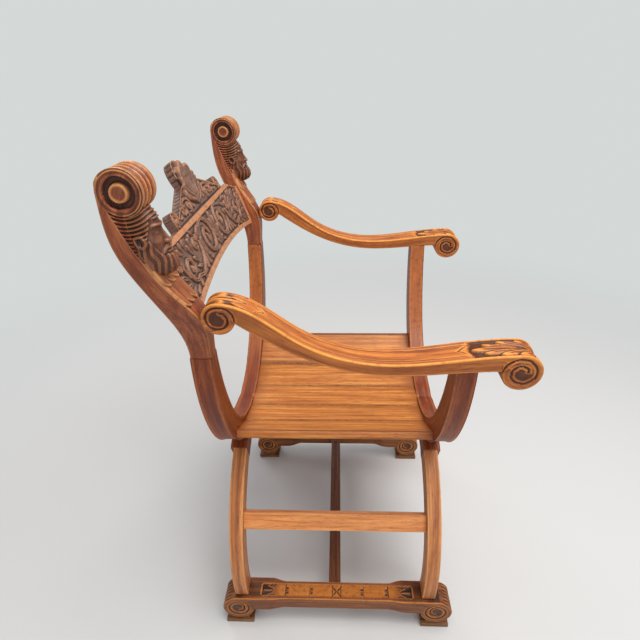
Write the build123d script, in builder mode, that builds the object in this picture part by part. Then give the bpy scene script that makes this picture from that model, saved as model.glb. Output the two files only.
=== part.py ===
from build123d import *
from math import asin, cos, degrees, radians, sin, sqrt
import os

# A fixed savonarola armchair in carved hardwood. Two frames, front and back, stand across
# the chair, and boards, rails and arms join them. The sitter faces -Y, so +X is the
# sitter's left. Millimetres, with the floor at Z = 0.

# Overall places
frame_inside = 400.0  # clear depth between the front frame and the back frame
frame_thick = 36.0
leg_thick = 30.0
frame_mid_y = -1.8  # middle of the frames, set so that the whole chair is centred on Y = 0
fit = 0.2  # clearance round tenons, tongues and dowels

# Each frame is a wide U over an arch, two rings of one width that cross in the middle
ring_width = 47.0
seat_curve_radius = 240.0
seat_curve_base = 453.0
lean_start = 60.0  # degrees round the U where flatter arcs take over up to the arms
lean_end = 100.0  # degrees round the U where those arcs are drawn to, past the level cut
lean_inner_radius = 450.0
lean_outer_radius = 360.0  # tighter than the inner edge, so that the wood tapers upwards
arch_radius = 293.0
arch_drop = 6.0  # the arch's inner edge is struck this much lower, so that the legs taper
arch_top = 445.0
splice_angle = 61.0  # degrees above level where a leg is spliced to its S member
foot_angle = -20.0  # a leg's ring is drawn on to here, and cut off level on its sled

# Sled feet
sled_top = 91.0
sled_outside = 297.0
sled_mid_y = -6.5
sled_end_width = 54.0
sled_waist_outset = 3.0  # how far the outer side is drawn in at the waist
sled_waist_inset = 8.0
sled_waist_half = 118.0
sled_shoulder_half = 154.0
sled_waist_base = 57.0
sled_neck_base = 50.0
sled_neck_half = 174.0
roll_radius = 36.0
roll_half = 229.5  # from the middle of the sled to the centre of each end roll
channel_depth = 2.5
channel_width = 29.0
channel_half = 174.0
pad_length = 64.0
pad_width = 54.0
pad_height = 11.0
pad_neck_length = 42.0
pad_neck_width = 46.0
pad_top = 21.0

# Rails
bar_width = 28.0
bar_height = 24.0
bar_top = 84.0
bar_channel_width = 11.0
bar_channel_end = 20.0  # plain wood between the channel and a sled
stretcher_angle = 29.5
stretcher_width = 36.0
stretcher_thick = 20.0

# Seat boards, laid round a shallow dish
dish_radius = 350.0
dish_base = 448.0
board_thick = 16.0
board_width = 78.0
board_edge_x = 203.0
board_gap = 0.6
tongue = 6.0
nosing_radius = 6.0

# Back posts
post_base = 748.0
# Side view's points between joint and scroll, as depth behind the frame's face and height
# above the joint
post_front_line = ((3, 82), (30, 126), (66, 195))
post_back_line = ((42, 48), (77, 142), (101, 204))
post_neck_inside = 271.0  # inner edge of the post above the arm
post_neck_width = 49.0
post_neck_z = 850.0
scroll_radius = 31.0
scroll_height = 1030.0
scroll_back = 76.0  # scroll centre behind the frame's inner face
scroll_x = 314.0
scroll_width = 54.0
eye_radius = 14.0
eye_ring_radius = 22.5
eye_ring_depth = 3.0
reed_band_radius = 33.5  # the roll between its flat ends stands a little proud
reed_band_width = 38.0

# Head carved on each post, a block of the post's own wood
head_height = 960.0
head_reach = 39.0  # of the brow ahead of the scroll's centre
head_half_width = 20.0
head_half_height = 58.0
head_depth = 55.0  # from the brow back into the post
brow_above = 18.0  # the brow above the middle of the head
chin_below = 50.0
chin_back = 17.0  # radius that rounds the chin under
forehead_turn = 55.0  # degrees that forehead and chin are rounded back
chin_turn = 70.0

# Back panel
panel_thick = 18.0
panel_foot_back = 17.0  # face of the panel behind the frame, at its foot, shoulder and top
panel_shoulder_back = 54.5
panel_top_back = 118.0
panel_spare = 3.0  # the sawn plank runs on this far past its outline
panel_end_z = 802.0
panel_arch_z = 834.0
panel_shoulder_z = 903.0
panel_shoulder_half = 264.0
panel_ledge_z = 925.0
panel_ledge_half = 200.0
crest_top_z = 1013.0
crest_scroll_radius = 14.0
crest_scroll_x = 150.0
crest_valley_x = 104.0
crest_valley_z = 951.0
palmette_half = 35.0
palmette_foot_z = 975.0
panel_tongue = 6.0

# Arms
arm_outside = 323.0
arm_width = 57.0
arm_rear_width = 47.0
arm_low_y = -78.0
arm_low_z = 756.0
arm_bend_y = 52.0
arm_bend_z = 797.0
arm_bend_thick = 27.5
arm_low_thick = 21.5
arm_wrist = 6.0  # how far the underside rises into the front volute
arm_rear_flat = 0.8  # depth of the flat on the rear volute where it meets the post
rear_volute_radius = 26.5
rear_volute_height = 835.5
front_volute_radius = 32.5
front_volute_height = 741.0
front_volute_reach = 96.5  # volute centre ahead of the front frame's inner face

# Joinery, as width, thickness and length
leg_tenon = (22.0, 18.0, 32.0)
splice_tenon = (22.0, 14.0, 56.0)
post_tenon = (16.0, 16.0, 60.0)
arm_tenon = (18.0, 18.0, 16.0)
tenon_root = 10.0  # the arm's tenon starts this far inside the member that carries it
stretcher_tenon = (26.0, 11.0, 16.0)
bar_tenon = (20.0, 14.0, 20.0)
arm_dowel_radius = 5.0
arm_dowel_length = 44.0
boss_radius = 13.0
boss_stand = 5.0
boss_taper = 30.0
pin_radius = 5.0

back_y = frame_mid_y + frame_inside / 2
front_y = frame_mid_y - frame_inside / 2
back_mid_y = back_y + frame_thick / 2
front_mid_y = front_y - frame_thick / 2
back_leg_y = back_y + leg_thick / 2
front_leg_y = front_y - leg_thick / 2
seat_curve_z = seat_curve_base + seat_curve_radius
arch_z = arch_top - arch_radius
arch_mid_radius = arch_radius - ring_width / 2
arch_inner_radius = arch_radius - ring_width + arch_drop
edge_radii = (
    (seat_curve_radius, lean_inner_radius),
    (seat_curve_radius + ring_width, lean_outer_radius),
)
dish_z = dish_base + dish_radius
crossing_z = (seat_curve_base - ring_width + arch_top) / 2
arm_mid_x = arm_outside - arm_width / 2
sled_mid_x = sled_outside - sled_end_width / 2

os.makedirs("parts", exist_ok=True)


def upright(y):
    """Plane across the chair at depth y, on which a sketch's x and y are X and Z."""
    return Plane.XZ.offset(-y)


def save(piece, name):
    """Label a finished piece and write its STEP file."""
    piece.part.label = name
    export_step(piece.part, f"parts/{name}.step")


# --- Frames: S members and legs ----------------------------------------------------------


def lean_centre(edge):
    """Centre of an edge's flatter arc, on the line through the U's centre and the changeover."""
    radius, lean = edge_radii[edge]
    turn = radians(lean_start)
    shift = lean - radius
    return -shift * sin(turn), seat_curve_z + shift * cos(turn)


def lean_x(z, edge=0):
    """Half width of the U at height z, on its inner edge 0 or its outer edge 1."""
    x, centre_z = lean_centre(edge)
    return x + sqrt(edge_radii[edge][1] ** 2 - (z - centre_z) ** 2)


def draw_upper_half(side, top_z):
    """Half of the U on one side, from the middle of the chair up to a level cut."""
    turned = 0 if side > 0 else 180
    start = turned + side * (lean_start - 90)
    sweep = side * (lean_end - lean_start)
    lines = []
    feet = []
    tops = []
    for edge, (radius, lean_radius) in enumerate(edge_radii):
        x, z = lean_centre(edge)
        with BuildLine() as line:
            low = CenterArc((0, seat_curve_z), radius, -90, side * lean_start)
            lean = CenterArc((side * x, z), lean_radius, start, sweep)
        lines.append(line.line)
        feet.append(low @ 0)
        tops.append(lean @ 1)
    with BuildLine() as ends:
        Line(*feet)
        Line(*tops)
    make_face([*lines, ends.line])
    with Locations((0, top_z + sled_outside)):
        Rectangle(3 * sled_outside, 2 * sled_outside, mode=Mode.SUBTRACT)


def draw_arch(first, last):
    """Ring of the arch between two angles, counted from the +X side."""
    with BuildLine() as outline:
        outer = CenterArc((0, arch_z), arch_radius, first, last - first)
        inner = CenterArc((0, arch_z - arch_drop), arch_inner_radius, first, last - first)
        Line(inner @ 0, outer @ 0)
        Line(inner @ 1, outer @ 1)
    make_face(outline.line)


def draw_board(first, last, grow=0.0):
    """Flat seat board between two angles of the dish, its joints cut towards the centre."""
    half = radians(last - first) / 2
    slack = degrees((board_gap / 2 - grow) / dish_radius)
    top = dish_radius - grow
    base = dish_radius + board_thick / cos(half) + grow
    corners = []
    for angle in (radians(first + slack), radians(last - slack)):
        for radius in (top, base):
            corners.append((radius * sin(angle), dish_z - radius * cos(angle)))
    with BuildLine() as outline:
        Polyline(corners[0], corners[1], corners[3], corners[2], close=True)
    make_face(outline.line)


def arch_plane(side, angle, y):
    """Plane square to the arch at an angle above level; its Z runs up along the wood."""
    a = radians(angle)
    origin = (side * arch_mid_radius * cos(a), y, arch_z + arch_mid_radius * sin(a))
    return Plane(origin=origin, x_dir=(side * cos(a), 0, sin(a)), z_dir=(-side * sin(a), 0, cos(a)))


def block(plane, size, grow=0.0, mode=Mode.ADD):
    """Rectangular tenon centred on a plane, or with grow its mortise."""
    with BuildSketch(plane.offset(-size[2] / 2 - grow)) as section:
        Rectangle(size[0] + 2 * grow, size[1] + 2 * grow)
    extrude(section.sketch, amount=size[2] + 2 * grow, mode=mode)


step_angle = degrees(board_width / dish_radius)
edge_angle = degrees(asin(board_edge_x / dish_radius))
right_joints = [-edge_angle, -1.5 * step_angle, -0.5 * step_angle]
board_joints = right_joints + [-angle for angle in reversed(right_joints)]


def cut_seat_groove(near_y):
    """Groove in a frame's inner face for the tongues of the seat boards."""
    with BuildSketch(upright(near_y)) as groove:
        for first, last in zip(board_joints, board_joints[1:]):
            draw_board(first, last, grow=fit)
    extrude(groove.sketch, amount=-(tongue + fit), mode=Mode.SUBTRACT)


def s_member(side, mid_y, top_z):
    """Half of the U on one side, running through the crossing into the opposite shoulder."""
    near_y = mid_y - frame_thick / 2
    with BuildSketch(upright(near_y)) as upper:
        draw_upper_half(side, top_z)
    extrude(upper.sketch, amount=-frame_thick)
    with BuildSketch(upright(near_y)) as shoulder:
        draw_arch(90, 90 + side * (90 - splice_angle))
    extrude(shoulder.sketch, amount=-frame_thick)
    # Half lap: the +X member keeps the front half of the wood, the other one the back half
    with BuildSketch(upright(mid_y)) as lap:
        with Locations((0, seat_curve_z)):
            Circle(seat_curve_radius + ring_width)
        with Locations((0, arch_z)):
            Circle(arch_radius, mode=Mode.INTERSECT)
    extrude(lap.sketch, amount=-side * frame_thick, mode=Mode.SUBTRACT)
    cut_seat_groove(back_y if mid_y > 0 else front_y - tongue - fit)
    leg_y = back_leg_y if mid_y > 0 else front_leg_y
    block(arch_plane(-side, splice_angle, leg_y), splice_tenon, fit, Mode.SUBTRACT)
    with BuildSketch(upright(mid_y - frame_thick)) as hole:
        with Locations((0, crossing_z)):
            Circle(pin_radius + fit / 2)
    extrude(hole.sketch, amount=-2 * frame_thick, mode=Mode.SUBTRACT)


def leg(side, mid_y):
    """Arch from the splice down to the sled, tenoned into it, with the rail's mortise."""
    first, last = (foot_angle, splice_angle) if side > 0 else (180 - splice_angle, 180 - foot_angle)
    with BuildSketch(upright(mid_y - leg_thick / 2)) as ring:
        draw_arch(first, last)
        with Locations((0, 0)):
            Rectangle(3 * sled_outside, 2 * sled_top, mode=Mode.SUBTRACT)
    extrude(ring.sketch, amount=-leg_thick)
    block(foot_plane(side, mid_y), leg_tenon)
    block(arch_plane(side, splice_angle, mid_y), splice_tenon, fit, Mode.SUBTRACT)
    inner_y = back_y if mid_y > 0 else front_y
    block(rail_plane(side, inner_y), stretcher_tenon_at_end, fit, Mode.SUBTRACT)


def foot_plane(side, mid_y):
    """Level plane at the middle of a leg's foot tenon, half of it inside the leg."""
    x = (sqrt(arch_radius**2 - (sled_top - arch_z) ** 2) + foot_inner_x()) / 2
    return Plane(origin=(side * x, mid_y, sled_top), x_dir=(1, 0, 0), z_dir=(0, 0, 1))


def foot_inner_x():
    """Inner edge of a leg where it stands on the sled."""
    return sqrt(arch_inner_radius**2 - (sled_top - arch_z + arch_drop) ** 2)


def rail_plane(side, y):
    """Plane square to the side rails at depth y, turned with the arch at the rails' height."""
    a = radians(stretcher_angle)
    origin = (side * arch_mid_radius * cos(a), y, arch_z + arch_mid_radius * sin(a))
    return Plane(origin=origin, x_dir=(-side * sin(a), 0, cos(a)), z_dir=(0, 1, 0))


# A rail's tenon, centred on the leg's face, so that half of this length enters the leg
stretcher_tenon_at_end = (stretcher_tenon[0], stretcher_tenon[1], 2 * stretcher_tenon[2])

with BuildPart() as back_leg_left:
    leg(1, back_leg_y)
save(back_leg_left, "back_leg_left")

with BuildPart() as front_leg_left:
    leg(1, front_leg_y)
save(front_leg_left, "front_leg_left")

with BuildPart() as back_leg_right:
    leg(-1, back_leg_y)
save(back_leg_right, "back_leg_right")

with BuildPart() as front_leg_right:
    leg(-1, front_leg_y)
save(front_leg_right, "front_leg_right")


def post_tenon_plane(side):
    """Level plane where a back post is jointed to its S member."""
    x = (lean_x(post_base) + lean_x(post_base, 1)) / 2
    return Plane(origin=(side * x, back_mid_y, post_base), x_dir=(1, 0, 0), z_dir=(0, 0, 1))


with BuildPart() as back_s_member_left:
    s_member(1, back_mid_y, post_base)
    block(post_tenon_plane(1), post_tenon, fit, Mode.SUBTRACT)
save(back_s_member_left, "back_s_member_left")

with BuildPart() as back_s_member_right:
    s_member(-1, back_mid_y, post_base)
    block(post_tenon_plane(-1), post_tenon, fit, Mode.SUBTRACT)
save(back_s_member_right, "back_s_member_right")


# --- Arms --------------------------------------------------------------------------------

rear_volute_y = back_y - rear_volute_radius + arm_rear_flat
front_volute_y = front_y - front_volute_reach
arm_tenon_x = (lean_x(arm_low_z) + lean_x(arm_low_z, 1)) / 2
arm_tenon_z = front_volute_height - arm_wrist  # just below the arm's underside


def draw_arm_side():
    """Side view of an arm: an S-shaped bar between two volutes, drawn in Y and Z."""
    with BuildLine() as outline:
        top = Spline(
            (rear_volute_y, rear_volute_height + rear_volute_radius),
            (arm_bend_y, arm_bend_z),
            (arm_low_y, arm_low_z),
            (front_volute_y, front_volute_height + front_volute_radius),
            tangents=[(-1, 0), (-1, 0)],
        )
        base = Spline(
            (rear_volute_y - rear_volute_radius / 2, rear_volute_height),
            (arm_bend_y, arm_bend_z - arm_bend_thick),
            (arm_low_y, arm_low_z - arm_low_thick),
            (front_mid_y, front_volute_height),
            (front_volute_y + front_volute_radius / 2, front_volute_height + arm_wrist),
        )
        Line(top @ 0, base @ 0)
        Line(top @ 1, base @ 1)
    make_face(outline.line)
    with Locations((rear_volute_y, rear_volute_height)):
        Circle(rear_volute_radius)
    with Locations((front_volute_y, front_volute_height)):
        Circle(front_volute_radius)
    with Locations((back_y + rear_volute_radius, rear_volute_height)):
        Rectangle(2 * rear_volute_radius, 2 * rear_volute_radius, mode=Mode.SUBTRACT)


def arm_tenon_plane(side):
    """Level plane at the middle of the tenon that the front frame sends up into an arm."""
    origin = (side * arm_tenon_x, front_mid_y, arm_tenon_z + arm_tenon[2] / 2)
    return Plane(origin=origin, x_dir=(1, 0, 0), z_dir=(0, 0, 1))


def arm_dowel(grow=0.0, mode=Mode.ADD):
    """Dowel from the arm's rear volute into the left post, or with grow its hole."""
    start = back_y - arm_dowel_length / 2 - grow
    with BuildSketch(upright(start)) as section:
        with Locations((arm_mid_x, rear_volute_height)):
            Circle(arm_dowel_radius + grow / 2)
    extrude(section.sketch, amount=-(arm_dowel_length + 2 * grow), mode=mode)


with BuildPart() as arm_left:
    with BuildSketch(Plane.YZ.offset(arm_outside - arm_width)) as arm_side:
        draw_arm_side()
    extrude(arm_side.sketch, amount=arm_width)
    with BuildSketch(Plane.XY.offset(front_volute_height - 2 * front_volute_radius)) as taper:
        with BuildLine():
            Polyline(
                (arm_outside - arm_width, front_y),
                (arm_outside - arm_rear_width, arm_bend_y),
                (arm_outside - arm_rear_width, back_y),
                (arm_outside - arm_width, back_y),
                close=True,
            )
        make_face()
    extrude(taper.sketch, amount=rear_volute_height, mode=Mode.SUBTRACT)
    block(arm_tenon_plane(1), arm_tenon, fit, Mode.SUBTRACT)
    arm_dowel(fit, Mode.SUBTRACT)
save(arm_left, "arm_left")

with BuildPart() as arm_right:
    mirror(arm_left.part, about=Plane.YZ)
save(arm_right, "arm_right")


def scribe_to_arm(side):
    """Cut a front S member's top to the arm's underside and raise its tenon."""
    with BuildSketch(Plane.YZ.offset(side * sled_outside * 0.5)) as arm_cut:
        draw_arm_side()
    extrude(arm_cut.sketch, amount=side * sled_outside, mode=Mode.SUBTRACT)
    size = (arm_tenon[0], arm_tenon[1], arm_tenon[2] + tenon_root)
    block(arm_tenon_plane(side).offset(-tenon_root / 2), size)


with BuildPart() as front_s_member_left:
    s_member(1, front_mid_y, arm_low_z)
    scribe_to_arm(1)
save(front_s_member_left, "front_s_member_left")

with BuildPart() as front_s_member_right:
    s_member(-1, front_mid_y, arm_low_z)
    scribe_to_arm(-1)
save(front_s_member_right, "front_s_member_right")


# --- Back posts and panel ----------------------------------------------------------------

reach_back = 200.0  # depth of the blanks that the posts and the panel are cut from

scroll_y = back_y + scroll_back


def draw_post_edge(depth, points, top_y):
    """One edge of a post's side view, upright at the joint and again beside the scroll."""
    return Spline(
        (back_y + depth, post_base),
        *[(back_y + y, post_base + z) for y, z in points],
        (top_y, scroll_height),
        tangents=[(0, 1), (0, 1)],
    )


def draw_post_side():
    """Side view of a back post: upright, raked back, then curled forward into its scroll."""
    with BuildLine() as outline:
        front = draw_post_edge(0, post_front_line, scroll_y)
        back = draw_post_edge(frame_thick, post_back_line, scroll_y + scroll_radius)
        Line(front @ 0, back @ 0)
        Line(front @ 1, back @ 1)
    make_face(outline.line)
    with Locations((scroll_y, scroll_height)):
        Circle(scroll_radius)


def draw_post_front(side, inset=0.0):
    """Front view of a back post, narrow at the neck and widening up to the scroll's flat sides."""
    low = post_base
    necks = (post_neck_inside + inset, post_neck_inside + post_neck_width)
    scrolls = (scroll_x - scroll_width / 2 + inset, scroll_x + scroll_width / 2)
    feet = []
    tops = []
    with BuildLine() as outline:
        for edge in (0, 1):
            foot_x = lean_x(low, edge)
            curve = Spline(
                (side * (foot_x + inset * (1 - edge)), low),
                (side * necks[edge], post_neck_z),
                (side * scrolls[edge], scroll_height - scroll_radius),
                tangents=[(side * (lean_x(low + 1, edge) - foot_x), 1), (0, 1)],
            )
            rise = Line(curve @ 1, (side * scrolls[edge], scroll_height + 2 * scroll_radius))
            feet.append(curve @ 0)
            tops.append(rise @ 1)
        Line(*feet)
        Line(*tops)
    make_face(outline.line)


def draw_panel_side(grow=0.0):
    """Side view of the back panel, a plank sawn to the rake of the posts."""
    with BuildLine() as outline:
        face_line = ThreePointArc(
            (back_y + panel_foot_back - grow, panel_end_z - panel_spare),
            (back_y + panel_shoulder_back - grow, panel_shoulder_z),
            (back_y + panel_top_back - grow, crest_top_z + panel_spare),
        )
        centre = face_line.arc_center
        inwards = 1 - (panel_thick + 2 * grow) / face_line.radius
        rear_points = [centre + (face_line @ share - centre) * inwards for share in (0, 0.5, 1)]
        rear_line = ThreePointArc(*rear_points)
        Line(face_line @ 0, rear_line @ 0)
        Line(face_line @ 1, rear_line @ 1)
    make_face(outline.line)


def draw_panel_front():
    """Front view of the panel: arched foot, ledge, and a crest of two scrolls and a palmette."""
    far = sled_outside
    ledge = panel_ledge_half
    scroll_foot = panel_ledge_z + crest_scroll_radius / 2
    with BuildLine() as outline:
        foot = ThreePointArc((-far, panel_end_z), (0, panel_arch_z), (far, panel_end_z))
        inner_ends = []
        for side in (-1, 1):
            edge = Polyline(
                foot @ (0 if side < 0 else 1),
                (side * far, panel_shoulder_z),
                (side * panel_shoulder_half, panel_shoulder_z),
                (side * ledge, panel_ledge_z),
                (side * crest_scroll_x, panel_ledge_z),
                (side * crest_scroll_x, scroll_foot),
            )
            rise = Spline(
                edge @ 1,
                (side * crest_valley_x, crest_valley_z),
                (side * palmette_half, palmette_foot_z),
            )
            inner_ends.append(rise @ 1)
        ThreePointArc(inner_ends[0], (0, crest_top_z), inner_ends[1])
    make_face(outline.line)
    with Locations(*[(side * crest_scroll_x, panel_ledge_z + crest_scroll_radius) for side in (-1, 1)]):
        Circle(crest_scroll_radius)


def draw_head_side():
    """Side view of the carved head: a forehead rounded back under the scroll, and a chin."""
    brow_y = scroll_y - head_reach
    crown_z = scroll_height - 0.9 * scroll_radius
    with BuildLine() as outline:
        brow = (brow_y, head_height + brow_above)
        forehead = JernArc(brow, (0, 1), scroll_radius, -forehead_turn)
        cheek = Line(brow, (brow_y, head_height - chin_below + chin_back))
        chin = JernArc(cheek @ 1, (0, -1), chin_back, chin_turn)
        Polyline(
            chin @ 1,
            (brow_y + head_depth, head_height),
            (brow_y + head_depth, crown_z),
            forehead @ 1,
        )
    make_face(outline.line)


with BuildPart() as head_left:
    with BuildSketch(Plane.YZ.offset(scroll_x - head_half_width)) as head_side:
        draw_head_side()
    extrude(head_side.sketch, amount=2 * head_half_width)
    with BuildSketch(upright(back_y)) as head_front:
        with Locations((scroll_x, head_height + 4)):
            Ellipse(head_half_width, head_half_height)
    extrude(head_front.sketch, amount=-reach_back, mode=Mode.INTERSECT)

with BuildPart() as groove_left:
    with BuildSketch(Plane.YZ) as groove:
        draw_panel_side(fit)
    extrude(groove.sketch, amount=sled_outside)
    with BuildSketch(upright(back_y)) as groove_reach:
        with Locations((sled_outside / 2, (panel_end_z + panel_shoulder_z) / 2)):
            Rectangle(sled_outside, panel_shoulder_z - panel_end_z + 2 * fit)
    extrude(groove_reach.sketch, amount=-reach_back, mode=Mode.INTERSECT)
    with BuildSketch(upright(back_y)) as groove_floor:
        draw_post_front(1, panel_tongue + fit)
    extrude(groove_floor.sketch, amount=-reach_back, mode=Mode.SUBTRACT)

with BuildPart() as back_post_left:
    with BuildSketch(upright(back_y)) as post_front:
        draw_post_front(1)
    extrude(post_front.sketch, amount=-reach_back)
    with BuildSketch(Plane.YZ) as post_side:
        draw_post_side()
    extrude(post_side.sketch, amount=2 * sled_outside, mode=Mode.INTERSECT)
    with BuildSketch(Plane.YZ.offset(scroll_x - reed_band_width / 2)) as reed_band:
        with Locations((scroll_y, scroll_height)):
            Circle(reed_band_radius)
    extrude(reed_band.sketch, amount=reed_band_width)
    for outwards in (-1, 1):
        face_x = scroll_x + outwards * scroll_width / 2
        with BuildSketch(Plane.YZ.offset(face_x)) as eye_ring:
            with Locations((scroll_y, scroll_height)):
                Circle(eye_ring_radius)
                Circle(eye_radius, mode=Mode.SUBTRACT)
        extrude(eye_ring.sketch, amount=-outwards * eye_ring_depth, mode=Mode.SUBTRACT)
    add(head_left.part)
    add(groove_left.part, mode=Mode.SUBTRACT)
    block(post_tenon_plane(1), post_tenon, fit, Mode.SUBTRACT)
    arm_dowel(fit, Mode.SUBTRACT)
save(back_post_left, "back_post_left")

with BuildPart() as back_post_right:
    mirror(back_post_left.part, about=Plane.YZ)
save(back_post_right, "back_post_right")

with BuildPart() as back_panel:
    with BuildSketch(upright(back_y)) as panel_front:
        draw_panel_front()
    extrude(panel_front.sketch, amount=-reach_back)
    with BuildSketch(Plane.YZ.offset(-sled_outside)) as panel_side:
        draw_panel_side()
    extrude(panel_side.sketch, amount=2 * sled_outside, mode=Mode.INTERSECT)
    for side in (-1, 1):
        with BuildSketch(upright(back_y)) as post_wood:
            draw_post_front(side, panel_tongue)
        extrude(post_wood.sketch, amount=-reach_back, mode=Mode.SUBTRACT)
save(back_panel, "back_panel")


# --- Seat boards -------------------------------------------------------------------------

board_length = frame_inside + 2 * tongue
board_names = ["edge_right", "right", "middle", "left", "edge_left"]

for name, first, last in zip(board_names, board_joints, board_joints[1:]):
    with BuildPart() as board:
        with BuildSketch(upright(front_y - tongue)) as section:
            draw_board(first, last)
            if "edge" in name:
                outermost = section.vertices().sort_by(Axis.X)
                fillet(outermost[-2:] if first > 0 else outermost[:2], nosing_radius)
        extrude(section.sketch, amount=-board_length)
    save(board, f"seat_board_{name}")


# --- Rails -------------------------------------------------------------------------------

for name, side in (("left", 1), ("right", -1)):
    with BuildPart() as side_stretcher:
        with BuildSketch(rail_plane(side, front_y)) as rail:
            Rectangle(stretcher_width, stretcher_thick)
        extrude(rail.sketch, amount=frame_inside)
        with BuildSketch(rail_plane(side, front_y - stretcher_tenon[2])) as tenon:
            Rectangle(stretcher_tenon[0], stretcher_tenon[1])
        extrude(tenon.sketch, amount=frame_inside + 2 * stretcher_tenon[2])
    save(side_stretcher, f"side_stretcher_{name}")

waist_inside = sled_outside - sled_end_width + sled_waist_inset
channel_x = sled_mid_x + (sled_waist_inset - sled_waist_outset) / 2
bar_z = bar_top - bar_height / 2

with BuildPart() as cross_bar:
    with BuildSketch(Plane.YZ.offset(-waist_inside)) as bar:
        with Locations((frame_mid_y, bar_z)):
            Rectangle(bar_width, bar_height)
    extrude(bar.sketch, amount=2 * waist_inside)
    with BuildSketch(Plane.YZ.offset(-waist_inside - bar_tenon[2])) as bar_ends:
        with Locations((frame_mid_y, bar_z)):
            Rectangle(bar_tenon[0], bar_tenon[1])
    extrude(bar_ends.sketch, amount=2 * (waist_inside + bar_tenon[2]))
    with BuildSketch(Plane.XY.offset(bar_top)) as bar_channel:
        with Locations((0, frame_mid_y)):
            Rectangle(2 * (waist_inside - bar_channel_end), bar_channel_width)
    extrude(bar_channel.sketch, amount=-channel_depth, mode=Mode.SUBTRACT)
save(cross_bar, "cross_bar")


# --- Sled feet ---------------------------------------------------------------------------

# Level plane with its x along the sled, so that both views of the waist are drawn alike
sled_plan = Plane(origin=(0, 0, 0), x_dir=(0, 1, 0), z_dir=(0, 0, -1))


def draw_drawn_in(level, drawn, shoulder):
    """Edge along the sled that sweeps in two arcs from each end's level to a straight waist."""
    waists = []
    for end in (-1, 1):
        start = (sled_mid_y + end * shoulder, level)
        finish = (sled_mid_y + end * sled_waist_half, drawn)
        middle = ((start[0] + finish[0]) / 2, (level + drawn) / 2)
        away = TangentArc(start, middle, tangent=(-end, 0))
        TangentArc(middle, finish, tangent=away % 1)
        waists.append(finish)
    Line(*waists)


with BuildPart() as sled_left:
    with BuildSketch(Plane.YZ.offset(sled_outside - sled_end_width)) as sled_side:
        with BuildLine() as side_line:
            Line((sled_mid_y - roll_half, sled_top), (sled_mid_y + roll_half, sled_top))
            draw_drawn_in(sled_neck_base, sled_waist_base, sled_neck_half)
            for end in (-1, 1):
                neck_y = sled_mid_y + end * sled_neck_half
                roll_y = sled_mid_y + end * roll_half
                Polyline((neck_y, sled_neck_base), (roll_y, sled_neck_base), (roll_y, sled_top))
        make_face(side_line.line)
        for end in (-1, 1):
            with Locations((sled_mid_y + end * roll_half, sled_top - roll_radius)):
                Circle(roll_radius)
        with Locations((sled_mid_y, 0)):
            Rectangle(3 * roll_half, 2 * pad_top, mode=Mode.SUBTRACT)
    extrude(sled_side.sketch, amount=sled_end_width)
    with BuildSketch(sled_plan) as waist:
        for edge_side, drawn_in in ((-1, sled_waist_inset), (1, sled_waist_outset)):
            edge = sled_mid_x + edge_side * sled_end_width / 2
            ends = [(sled_mid_y + end * sled_shoulder_half, edge) for end in (-1, 1)]
            with BuildLine() as hollow:
                draw_drawn_in(edge, edge - edge_side * drawn_in, sled_shoulder_half)
                Line(*ends)
            make_face(hollow.line)
    extrude(waist.sketch, amount=-2 * sled_top, mode=Mode.SUBTRACT)
    with BuildSketch(Plane.XY.offset(sled_top)) as channel:
        with Locations((channel_x, sled_mid_y)):
            Rectangle(channel_width, 2 * channel_half)
    extrude(channel.sketch, amount=-channel_depth, mode=Mode.SUBTRACT)
    for leg_y in (back_leg_y, front_leg_y):
        block(foot_plane(1, leg_y), leg_tenon, fit, Mode.SUBTRACT)
    with BuildSketch(Plane.YZ.offset(0)) as bar_mortise:
        with Locations((frame_mid_y, bar_z)):
            Rectangle(bar_tenon[0] + 2 * fit, bar_tenon[1] + 2 * fit)
    extrude(bar_mortise.sketch, amount=waist_inside + bar_tenon[2] + fit, mode=Mode.SUBTRACT)
save(sled_left, "sled_left")

with BuildPart() as sled_right:
    mirror(sled_left.part, about=Plane.YZ)
save(sled_right, "sled_right")

on_floor = (Align.CENTER, Align.CENTER, Align.MIN)

with BuildPart() as foot_pads:
    for side in (-1, 1):
        for end in (-1, 1):
            with Locations((side * sled_mid_x, sled_mid_y + end * roll_half, 0)):
                Box(pad_width, pad_length, pad_height, align=on_floor)
                Box(pad_neck_width, pad_neck_length, pad_top, align=on_floor)
save(foot_pads, "foot_pads")


# --- Loose tenons, dowels and the pins of the crossings ----------------------------------

with BuildPart() as leg_splice_tenons:
    for leg_y in (back_leg_y, front_leg_y):
        for side in (-1, 1):
            block(arch_plane(side, splice_angle, leg_y), splice_tenon)
save(leg_splice_tenons, "leg_splice_tenons")

with BuildPart() as post_splice_tenons:
    for side in (-1, 1):
        block(post_tenon_plane(side), post_tenon)
save(post_splice_tenons, "post_splice_tenons")

with BuildPart() as arm_dowels:
    arm_dowel()
    mirror(about=Plane.YZ)
save(arm_dowels, "arm_dowels")

with BuildPart() as crossing_boss:
    with BuildSketch(upright(front_y)) as boss_pin:
        with Locations((0, crossing_z)):
            Circle(pin_radius)
    extrude(boss_pin.sketch, amount=frame_thick)
    with BuildSketch(upright(front_y - frame_thick)) as boss:
        with Locations((0, crossing_z)):
            Circle(boss_radius)
    extrude(boss.sketch, amount=boss_stand, taper=boss_taper)
save(crossing_boss, "crossing_boss")

with BuildPart() as crossing_pin:
    with BuildSketch(upright(back_y)) as back_pin:
        with Locations((0, crossing_z)):
            Circle(pin_radius)
    extrude(back_pin.sketch, amount=-frame_thick)
save(crossing_pin, "crossing_pin")
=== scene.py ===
import math
from functools import partial, partialmethod

import bpy
import numpy as np
from mathutils import Matrix, Vector


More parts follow.
